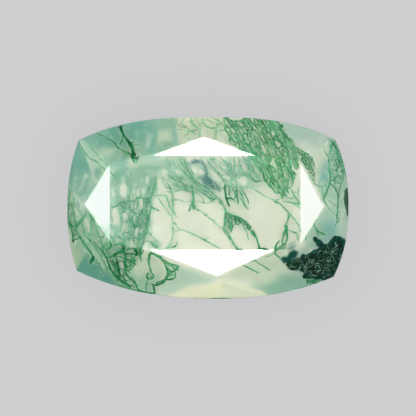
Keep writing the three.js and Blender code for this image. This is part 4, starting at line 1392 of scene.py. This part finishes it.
def cut_milk_body(look):
    """A block cut by the stone's own facets, each drawn in a little way, with an even skin."""
    deselect_all()
    bpy.ops.mesh.primitive_cube_add(size=2.0 * LENGTH_MM, location=(0, 0, 0))
    body = bpy.context.object
    body.name = "milk_body"
    bpy.ops.object.mode_set(mode="EDIT")
    for normal, distance in zip(FACET_NORMALS, FACET_DISTANCES):
        plane, away = drawn_in(normal, distance, look.rim_depth)
        bpy.ops.mesh.select_all(action="SELECT")
        bpy.ops.mesh.bisect(plane_co=tuple(plane * away), plane_no=tuple(plane),
                            use_fill=True, clear_outer=True)
    bpy.ops.object.mode_set(mode="OBJECT")
    skin = body.modifiers.new("even_skin", "REMESH")
    skin.mode = "SHARP"
    skin.octree_depth = MILK_REMESH_DEPTH
    skin.scale = MILK_SIZE_IN_REMESH
    bpy.ops.object.modifier_apply(modifier=skin.name)
    return body


def mesh_points(piece):
    points = np.empty(len(piece.data.vertices) * 3)
    piece.data.vertices.foreach_get("co", points)
    return points.reshape(-1, 3)


GLOW_CELL_PX = 0.5


def moss_cover(threads, px, py, reach):
    """How much moss lies over each place, blurred by the reach in pixels."""
    size = int(PHOTO_WIDTH / GLOW_CELL_PX)
    grid = np.zeros((size, size))
    for thread in threads:
        at_x = thread.points[:, 0] / MM_PER_PX + PHOTO_MIDDLE[0]
        at_y = PHOTO_MIDDLE[1] - thread.points[:, 1] / MM_PER_PX
        weight = thread.radii / MM_PER_PX * 2.0 * STEP_PX
        np.add.at(grid, ((at_y / GLOW_CELL_PX).astype(int), (at_x / GLOW_CELL_PX).astype(int)), weight)
    cells = np.arange(-int(3 * reach / GLOW_CELL_PX), int(3 * reach / GLOW_CELL_PX) + 1) * GLOW_CELL_PX
    bell = np.exp(-cells ** 2 / (2 * reach ** 2))
    bell /= bell.sum()
    for axis in (0, 1):
        grid = np.apply_along_axis(lambda line: np.convolve(line, bell, mode="same"), axis, grid)
    grid /= GLOW_CELL_PX ** 2
    fx, fy = px / GLOW_CELL_PX - 0.5, py / GLOW_CELL_PX - 0.5
    x0, y0 = np.clip(fx.astype(int), 0, size - 2), np.clip(fy.astype(int), 0, size - 2)
    sx, sy = np.clip(fx - x0, 0, 1), np.clip(fy - y0, 0, 1)
    top = grid[y0, x0] * (1 - sx) + grid[y0, x0 + 1] * sx
    low = grid[y0 + 1, x0] * (1 - sx) + grid[y0 + 1, x0 + 1] * sx
    return top * (1 - sy) + low * sy


# Sprigs: width in pixels, share of it left at a tip, shortest length that branches, and how often
SPRIG_WIDTH = 1.9
SPRIG_TAPER = 0.7
BRANCHING_LENGTH = 8
BRANCHING = 0.13


def sprig(rng, place, heading, length, tone, width):
    """A branching sprig of moss on the underside, as threads."""
    steps = max(4, int(length / STEP_PX))
    bend = rng.uniform(-0.05, 0.05)
    xs, ys, threads = [place[0]], [place[1]], []
    for step in range(steps):
        heading += bend + rng.uniform(-0.16, 0.16)
        xs.append(xs[-1] + STEP_PX * math.cos(heading))
        ys.append(ys[-1] + STEP_PX * math.sin(heading))
        if length > BRANCHING_LENGTH and step > 2 and rng.random() < BRANCHING:
            side = heading + rng.choice((-1, 1)) * rng.uniform(0.5, 1.0)
            threads += sprig(rng, (xs[-1], ys[-1]), side, length * rng.uniform(0.3, 0.6), tone, 0.8 * width)
    widths = np.linspace(width, SPRIG_TAPER * width, len(xs))
    threads.append(thread_from_px(np.array(xs), np.array(ys), widths, tone, rng, height=pavilion_height))
    return threads


# Sprigs on the underside: place and heading in pixels and degrees of the photograph, length and tone
UNDER_SPRIGS = [
    (175, 300, -100, 50, 0.8), (196, 304, -80, 34, 0.5), (232, 304, -95, 44, 0.6),
    (262, 300, -70, 52, 0.75),
    (290, 292, -110, 30, 0.45), (345, 232, 190, 60, 0.7), (340, 160, 150, 44, 0.5),
    (300, 122, 110, 46, 0.7),
    (180, 112, 80, 40, 0.75), (150, 116, 95, 52, 0.6), (110, 128, 70, 50, 0.7), (90, 160, 20, 44, 0.55),
    (72, 196, 5, 60, 0.8), (76, 222, -10, 40, 0.5), (130, 190, 20, 60, 0.6), (160, 230, -15, 70, 0.5),
    (220, 190, 30, 60, 0.65), (250, 235, -160, 66, 0.55), (280, 205, 200, 50, 0.45),
    (200, 170, 60, 40, 0.5),
    (318, 150, 120, 50, 0.6), (96, 262, -30, 56, 0.65), (205, 262, -70, 44, 0.6), (246, 268, -120, 40, 0.7),
]


def double_web(name, seed, tints=(PLAIN,)):
    """A thick web with thin lines over it."""
    return web(name, seed, tints) + web(name + "_lines", seed + 100, tints)


def crown_moss():
    """All the moss near the table and the crown, by piece."""
    return {
        "moss_stem": threads_of(TOP_LEFT, 11, PLAIN, 14),
        "moss_arcs": threads_of(TOP_MIDDLE, 12, LOOP, 60) + web("loops_lines", 32, (LOOP,)),
        "moss_tangle": threads_of(TANGLE, 13, HAZY, 18) + web("tangle_lines", 33, (BLUE, PLAIN))
        + web("skirt", 34),
        "moss_threads": threads_of(THIN, 15, PLAIN, 20) + web("patch", 36, (BLUE, PLAIN)),
        "moss_network": threads_of(NETWORK, 16, BLUE) + double_web("cap", 17, (BLUE,)),
        "moss_column": threads_of(COLUMN, 18, BLUE, 9) + double_web("column", 19, (PLAIN, BLUE)),
        "moss_haze": web("left_lines", 35, (BLUE,)) + double_web("column_west", 37, (PLAIN, BLUE)),
        "moss_clump": threads_of(CLUMP, 20, DEEP, 7) + double_web("clump", 21, (DEEP,)),
        "moss_rim": threads_of(LEFT_EDGE, 22, PLAIN, 9) + double_web("rim", 23),
        "moss_band": double_web("band", 24, (BAND, PLAIN)),
        "moss_lobe": double_web("lobe", 26, (BAND, PLAIN)),
    }


def deep_moss():
    """Moss that lies deep in the milk and only shows softly: threads, colour, strength, blur in pixels."""
    return (
        (web("left", 62), (136, 186, 158), 0.5, 1.3),
        (web("column_top", 61), (128, 178, 152), 0.6, 1.1),
        (web("loops", 63), (188, 210, 172), 0.45, 1.0),
        (web("tangle", 64), (150, 194, 164), 0.55, 1.0),
    )


def under_moss():
    """The moss on the underside, by piece."""
    rng = random.Random(51)
    sprigs = []
    for px, py, heading, length, tone in UNDER_SPRIGS:
        sprigs += sprig(rng, (px, py), math.radians(heading), length, tone, SPRIG_WIDTH)
    return {
        "moss_under_band": double_web("under_band", 52, (BAND,)),
        "moss_under_webs": double_web("under_west", 53, (BLUE,)) + double_web("under_south", 54)
        + double_web("under_east", 55, (BLUE,)),
        "moss_under_sprigs": sprigs,
    }


CROWN_MOSS = crown_moss()
UNDER_MOSS = under_moss()

# The underside's veils: their two colours, and the depth under the girdle over which they set in
UNDER_VEIL = (132, 180, 156)
UNDER_PALE = (206, 222, 194)
UNDER_START = 0.2
UNDER_BLEND = 1.2
# How sharply they change, and how strong they are above the girdle and how much stronger below it
VEIL_CONTRAST = 1.6
VEIL_ABOVE = 0.1
VEIL_BELOW = 0.75

# The crown's mottle: its dark colour, the size of a fleck in pixels, and how upright it is
MOTTLE_TEAL = (128, 180, 152)
MOTTLE_PX = 5.2
MOTTLE_STRETCH = 0.6
MOTTLE_CONTRAST = 2.0
MOTTLE_SOFTNESS = 8.0

# How far the painted light beside the moss reaches, and how softly eyes and dark patches end, in pixels
GAP_BLUR = 1.6
EYE_SOFTNESS = 1.4
PATCH_SOFTNESS = 2.5


def veils(points, size):
    """A soft noise value for each point, about -1 to 1."""
    return np.array([fractal(Vector(point) / size, 1.0, 2.0, 3) for point in points])


def veil_underside(colours, points, look):
    """Lays soft veils over the milk, faint on the crown and strong on the underside."""
    noise = veils(points, look.veil_size)
    below = smooth_step((GIRDLE_LEVEL - UNDER_START - points[:, 2]) / UNDER_BLEND)
    ground = np.where(noise[:, None] > 0, UNDER_VEIL, UNDER_PALE)
    strength = np.clip(np.abs(noise) * VEIL_CONTRAST, 0.0, 1.0)
    lay(colours, ground, strength * (VEIL_ABOVE + VEIL_BELOW * below))


def paint_gap_light(colours, px, py, crown, look):
    """Paints light on the milk under and between the threads, with a pale green tint, to offset the shade
    they cast there.
    """
    lift = np.zeros(len(colours))
    for moss, side in ((CROWN_MOSS, crown), (UNDER_MOSS, ~crown)):
        threads = [thread for group in moss.values() for thread in group]
        lift[side] = np.clip(moss_cover(threads, px[side], py[side], GAP_BLUR), 0.0, 1.0)
    lay(colours, PAINTED_GAP_LIGHT, look.lift * lift)


def veiled(colours, px, py, threads, colour, strength, blur):
    """Lays the soft shade of deep threads over the milk."""
    lay(colours, colour, strength * np.clip(moss_cover(threads, px, py, blur), 0.0, 1.0))


def paint_crown(colours, px, py):
    """Mottle, deep moss, open eyes and the slate blue ring in the milk of the crown."""
    spots = veils(np.stack([px, MOTTLE_STRETCH * py, 0.0 * px], axis=1), MOTTLE_PX)
    shade = np.where(spots[:, None] > 0, OPENING, MOTTLE_TEAL)
    flecked = np.clip(np.abs(spots) * MOTTLE_CONTRAST, 0.0, 1.0)
    for outline, strength in MOTTLED:
        lay(colours, shade, strength * flecked * field(px, py, outline, MOTTLE_SOFTNESS))
    for threads, colour, strength, blur in deep_moss():
        veiled(colours, px, py, threads, colour, strength, blur)
    for name, eyes in EYES.items():
        for eye_x, eye_y, across, along, shown in eyes:
            eye = ellipse(px, py, (eye_x, eye_y), (along, across), WEBS[name].turn, EYE_SOFTNESS)
            lay(colours, OPENING, shown * eye)
    veiled(colours, px, py, threads_of(SLATE_RING, 14), SLATE_BLUE, strength=0.9, blur=1.2)
    lay(colours, SLATE_BLUE, SMUDGE_STRENGTH * ellipse(px, py, *SLATE_SMUDGE, softness=3.0))


def milk_colours(points, look):
    """The screen colour of the milk at each of its points."""
    px, py = photo_place(points[:, 0], points[:, 1])
    colours = cloud_colours(px, py)
    crown = points[:, 2] > GIRDLE_LEVEL
    veil_underside(colours, points, look)
    # Painted light on the milk between the threads, against the shade they cast
    paint_gap_light(colours, px, py, crown, look)
    top = colours[crown]
    paint_crown(top, px[crown], py[crown])
    colours[crown] = top
    # The cluster's own dark colours over the milk, then the painted reflection grounds under the star facets
    covers = [(ARM_TEAL, CLUSTER_ARM), (SPOT_GREEN, SPOT_EDGE), (NEAR_BLACK, CLUSTER_EDGE)]
    for colour, outline in covers + list(STAR_GLARE_GROUNDS.values()):
        lay(colours, colour, field(px, py, outline, PATCH_SOFTNESS))
    return colours


class AGATE_OT_milk(bpy.types.Operator):
    """Cut the milky body that fills the stone and paint its clouds"""

    bl_idname = "agate.milk"
    bl_label = "Add the Milk"

    def execute(self, context):
        look = context.scene.agate_milk
        body = cut_milk_body(look)
        paint(body, "cloud_colour", under_polish(milk_colours(mesh_points(body), look)))
        off_the_bench(body, painted_stone("milky_agate", "cloud_colour", look.mottle,
                                          fleck_scale=500.0, glow_depth=0.00018))
        return {"FINISHED"}


class AGATE_OT_moss(bpy.types.Operator):
    """Grow the moss under the facets of the crown and of the underside"""

    bl_idname = "agate.moss"
    bl_label = "Grow the Moss"

    def execute(self, context):
        material = moss_material("green_moss")
        for name, threads in (CROWN_MOSS | UNDER_MOSS).items():
            off_the_bench(spin(name, threads), material)
        return {"FINISHED"}


# The cluster's lobes: how far they stray from their rows in pixels, how high they sit, how flat
# they are, and their gap to the facets
LOBE_JITTER = 1.6
LOBE_LEVEL = 0.3
LOBE_FLATNESS = 0.7
LOBE_GAP = 0.06

# Its curls: how many, how high above the lobes in radii, how often they turn back, and their tints
CURL_COUNT = 175
CURL_LIFT = 0.5
CURL_TURNING = 0.15
CURL_TINTS = ((0.5, 0.62, 0.64), (0.24, 0.38, 0.42), (0.78, 0.88, 0.86), (0.32, 0.48, 0.5),
              (0.62, 0.72, 0.58), (0.16, 0.3, 0.33), (0.36, 0.5, 0.46))
DEEP_CURL_TINTS = ((0.12, 0.3, 0.28), (0.2, 0.36, 0.38), (0.1, 0.24, 0.2))


def cluster_places(look, rng):
    """Where the lobes of the dark cluster sit: place, half lengths and turn."""
    lobes = list(CLUSTER_LOBES.values())
    corners = np.array(CLUSTER_EDGE)
    low, high = corners.min(axis=0), corners.max(axis=0)
    for py in np.arange(low[1], high[1], look.spacing):
        for px in np.arange(low[0], high[0], look.spacing):
            place = (px + rng.uniform(-LOBE_JITTER, LOBE_JITTER), py + rng.uniform(-LOBE_JITTER, LOBE_JITTER))
            depth = field(np.array([place[0]]), np.array([place[1]]), CLUSTER_EDGE, 6.0)[0]
            if depth > 0.6:
                lobes.append((place, (rng.uniform(2.2, 3.9), rng.uniform(2.0, 3.2)), rng.uniform(0, 180)))
    return lobes


def crumple(rng, count):
    """Small bent curls, strewn over the middle of the cluster."""
    low, high = np.min(CURLS_EDGE, axis=0), np.max(CURLS_EDGE, axis=0)
    curls = []
    while len(curls) < count:
        px, py = rng.uniform(low[0], high[0]), rng.uniform(low[1], high[1])
        if field(np.array([px]), np.array([py]), CURLS_EDGE, 2.0)[0] < 0.6:
            continue
        heading, bend = rng.uniform(0.0, 2.0 * math.pi), rng.choice((-1, 1)) * rng.uniform(0.15, 0.6)
        xs, ys = bent_hair(rng, (px, py), heading, bend, rng.randint(3, 9), CURL_TURNING)
        widths = np.full(len(xs), rng.uniform(0.55, 1.15))
        curls.append(thread_from_px(xs, ys, widths, rng.uniform(0.0, 0.25), rng, rng.choice(CURL_TINTS)))
    return curls


def draped(threads, piece):
    """Lays threads on the top of a piece."""
    tree = BVHTree.FromObject(piece, bpy.context.evaluated_depsgraph_get())
    for thread in threads:
        for point, radius in zip(thread.points, thread.radii):
            spot = tree.ray_cast(Vector((point[0], point[1], LENGTH_MM)), Vector((0.0, 0.0, -1.0)))[0]
            if spot:
                point[2] = spot.z + CURL_LIFT * radius
        thread.points = keep_inside(thread.points, thread.radii + SKIN_GAP)
    return threads


def cluster_balls(look):
    """A flat ball for each lobe, on the crown's side and again on the underside."""
    balls = []
    for (px, py), (long_half, short_half), turn in cluster_places(look, random.Random(41)):
        x, y = bench_point(px, py)
        for height in (crown_height, pavilion_height):
            deselect_all()
            z = float(height(np.array([x]), np.array([y]), LOBE_LEVEL)[0])
            bpy.ops.mesh.primitive_ico_sphere_add(subdivisions=2, radius=1.0, location=(x, y, z))
            ball = bpy.context.object
            ball.scale = (long_half * MM_PER_PX, short_half * MM_PER_PX,
                          LOBE_FLATNESS * short_half * MM_PER_PX)
            ball.rotation_euler = (0.0, 0.0, -math.radians(turn))
            balls.append(ball)
    return balls


def fused_mass(balls, look):
    """Joins the balls into one closed, lumpy mesh that stays inside the facets."""
    deselect_all()
    for ball in balls:
        ball.select_set(True)
    bpy.context.view_layer.objects.active = balls[0]
    bpy.ops.object.transform_apply(location=True, rotation=True, scale=True)
    bpy.ops.object.join()
    mass = bpy.context.object
    mass.name = "dark_cluster"
    fused = mass.modifiers.new("fused", "REMESH")
    fused.mode = "VOXEL"
    fused.voxel_size = look.grain
    bpy.ops.object.modifier_apply(modifier=fused.name)
    lumps = bpy.data.textures.new("lumps", "CLOUDS")
    lumps.noise_scale = 0.16
    rough = mass.modifiers.new("rough", "DISPLACE")
    rough.texture = lumps
    rough.strength = 0.09
    bpy.ops.object.modifier_apply(modifier=rough.name)
    mass.data.vertices.foreach_set("co", keep_inside(mesh_points(mass), LOBE_GAP).ravel())
    mass.data.update()
    bpy.ops.object.shade_smooth()
    return mass


def cluster_colours(px, py):
    """Nearly black in the middle of the cluster, and dark teal around it."""
    core = field(px, py, CURLS_EDGE, 5.0)[:, None]
    return np.array(CLUSTER_CORE, float) * core + np.array(CLUSTER_SKIRT, float) * (1.0 - core)


class AGATE_OT_cluster(bpy.types.Operator):
    """Grow the dark cluster at the corner, with pale curls on it"""

    bl_idname = "agate.cluster"
    bl_label = "Grow the Dark Cluster"

    def execute(self, context):
        look = context.scene.agate_cluster
        mass = fused_mass(cluster_balls(look), look)
        points = mesh_points(mass)
        shade = cluster_colours(*photo_place(points[:, 0], points[:, 1]))
        paint(mass, "moss_colour", under_polish(shade))
        curls = crumple(random.Random(43), CURL_COUNT) + web("deep_curls", 44, DEEP_CURL_TINTS)
        curls = draped(curls, mass) + threads_of(FROND, 42)
        off_the_bench(mass, painted_stone("dark_moss", "moss_colour", mottle=0.6,
                                          fleck_scale=4000.0, glow_depth=0.00004))
        off_the_bench(spin("cluster_curls", curls), moss_material("pale_curls"))
        return {"FINISHED"}


# The light tent, by the upward part of a direction: where its dim side ends, where its bright top
# and the camera's dark hole begin, and how soft the hole's rim is
TENT_SIDE = 0.4
TENT_TOP = 0.75
CAMERA_HOLE = 0.985
HOLE_RIM = 0.012

# How far above the girdle the photograph's scale holds, in millimetres
SCALE_HEIGHT = 0.1


def sky_material(world, look):
    """A light tent: bright overhead, dimmer at the horizon, with a dark hole for the camera."""
    world.use_nodes = True
    tree = world.node_tree
    background = tree.nodes["Background"]
    place = tree.nodes.new("ShaderNodeTexCoord")
    split = tree.nodes.new("ShaderNodeSeparateXYZ")
    ramp = tree.nodes.new("ShaderNodeValToRGB")
    ramp.color_ramp.interpolation = "EASE"
    stops = ramp.color_ramp.elements
    heights = ((0.0, look.horizon), (TENT_SIDE, look.horizon), (TENT_TOP, look.zenith),
               (CAMERA_HOLE - HOLE_RIM, look.zenith), (CAMERA_HOLE, look.hole))
    while len(stops) < len(heights):
        stops.new(0.5)
    for stop, (height, strength) in zip(stops, heights):
        stop.position = height
        stop.color = (strength, strength, strength, 1.0)
    tree.links.new(place.outputs["Generated"], split.inputs["Vector"])
    tree.links.new(split.outputs["Z"], ramp.inputs["Fac"])
    tree.links.new(ramp.outputs["Color"], background.inputs["Color"])
    background.inputs["Strength"].default_value = 1.0


def flat_light(name, place, size, power):
    """A square soft light that faces the stone and is seen only in its polish."""
    deselect_all()
    bpy.ops.object.light_add(type="AREA", location=place)
    lamp = bpy.context.object
    lamp.name = name
    lamp.data.size = size
    lamp.data.energy = power
    lamp.rotation_euler = Vector(place).to_track_quat("Z", "Y").to_euler()
    lamp.visible_diffuse = False
    lamp.visible_transmission = False
    lamp.visible_volume_scatter = False


# Each card: its bearing and its angle from overhead in degrees, and its radiance
STAR_CARDS = {
    "card_north": (90.0, 32.3, 30.0),
    "card_east": (0.0, 26.0, 6.9),
    "card_south": (-90.0, 26.6, 30.0),
    "card_west": (180.0, 32.6, 7.6),
}
CARD_DISTANCE = 0.3
CARD_SIZE = 0.07


def star_cards():
    """The four light cards that the star facets mirror."""
    for name, (azimuth, zenith, radiance) in STAR_CARDS.items():
        turn, lean = math.radians(azimuth), math.radians(zenith)
        place = (CARD_DISTANCE * math.sin(lean) * math.cos(turn),
                 CARD_DISTANCE * math.sin(lean) * math.sin(turn),
                 CARD_DISTANCE * math.cos(lean))
        flat_light(name, place, CARD_SIZE, radiance * math.pi * CARD_SIZE ** 2)


def photo_camera(look):
    """A camera straight above the stone that frames it as the photograph does."""
    bpy.ops.object.camera_add(location=(0, 0, 1))
    camera = bpy.context.object
    camera.name = "camera"
    camera.data.lens = look.lens
    frame_width = PHOTO_WIDTH * MM_PER_PX * MM
    distance = frame_width * look.lens / camera.data.sensor_width
    camera.location = (0.0, 0.0, (GIRDLE_LEVEL + SCALE_HEIGHT) * MM + distance)
    camera.rotation_euler = (0.0, 0.0, 0.0)
    camera.data.clip_start = 0.01
    camera.data.clip_end = 10.0
    return camera


def light_paths(cycles):
    """Enough bounces for light to pass the skin, soak through the stone and come out again."""
    cycles.max_bounces = 16
    cycles.diffuse_bounces = 6
    cycles.glossy_bounces = 8
    cycles.transmission_bounces = 12
    cycles.transparent_max_bounces = 12


class AGATE_OT_stage(bpy.types.Operator):
    """Add the floor, the soft light and the camera"""

    bl_idname = "agate.stage"
    bl_label = "Set the Stage"

    def execute(self, context):
        look = context.scene.agate_stage
        deselect_all()
        bpy.ops.mesh.primitive_plane_add(size=2.0, location=(0, 0, 0))
        floor = bpy.context.object
        floor.name = "floor"
        floor.data.materials.append(pale_floor(look))
        context.scene.world = bpy.data.worlds.new("soft_sky")
        sky_material(context.scene.world, look)
        star_cards()
        context.scene.camera = photo_camera(look)
        context.scene.view_settings.view_transform = "Standard"
        light_paths(context.scene.cycles)
        return {"FINISHED"}


class AGATE_PT_bench(bpy.types.Panel):
    """Lists the steps that dress the stone"""

    bl_label = "Moss Agate"
    bl_idname = "AGATE_PT_bench"
    bl_space_type = "VIEW_3D"
    bl_region_type = "UI"
    bl_category = "Moss Agate"

    def draw(self, context):
        for step in STEPS:
            self.layout.operator(step.bl_idname)


STEPS = (AGATE_OT_polish, AGATE_OT_milk, AGATE_OT_moss, AGATE_OT_cluster, AGATE_OT_stage)
LOOKS = {
    "agate_skin": AgateSkinLook,
    "agate_milk": AgateMilkLook,
    "agate_cluster": AgateClusterLook,
    "agate_stage": AgateStageLook,
}


def register():
    for look in LOOKS.values():
        bpy.utils.register_class(look)
    for step in STEPS:
        bpy.utils.register_class(step)
    bpy.utils.register_class(AGATE_PT_bench)
    for name, look in LOOKS.items():
        setattr(bpy.types.Scene, name, bpy.props.PointerProperty(type=look))


def unregister():
    for name in LOOKS:
        delattr(bpy.types.Scene, name)
    bpy.utils.unregister_class(AGATE_PT_bench)
    for step in reversed(STEPS):
        bpy.utils.unregister_class(step)
    for look in reversed(LOOKS.values()):
        bpy.utils.unregister_class(look)


def main():
    register()
    for step in STEPS:
        group, name = step.bl_idname.split(".")
        getattr(getattr(bpy.ops, group), name)()


if __name__ == "__main__":
    main()
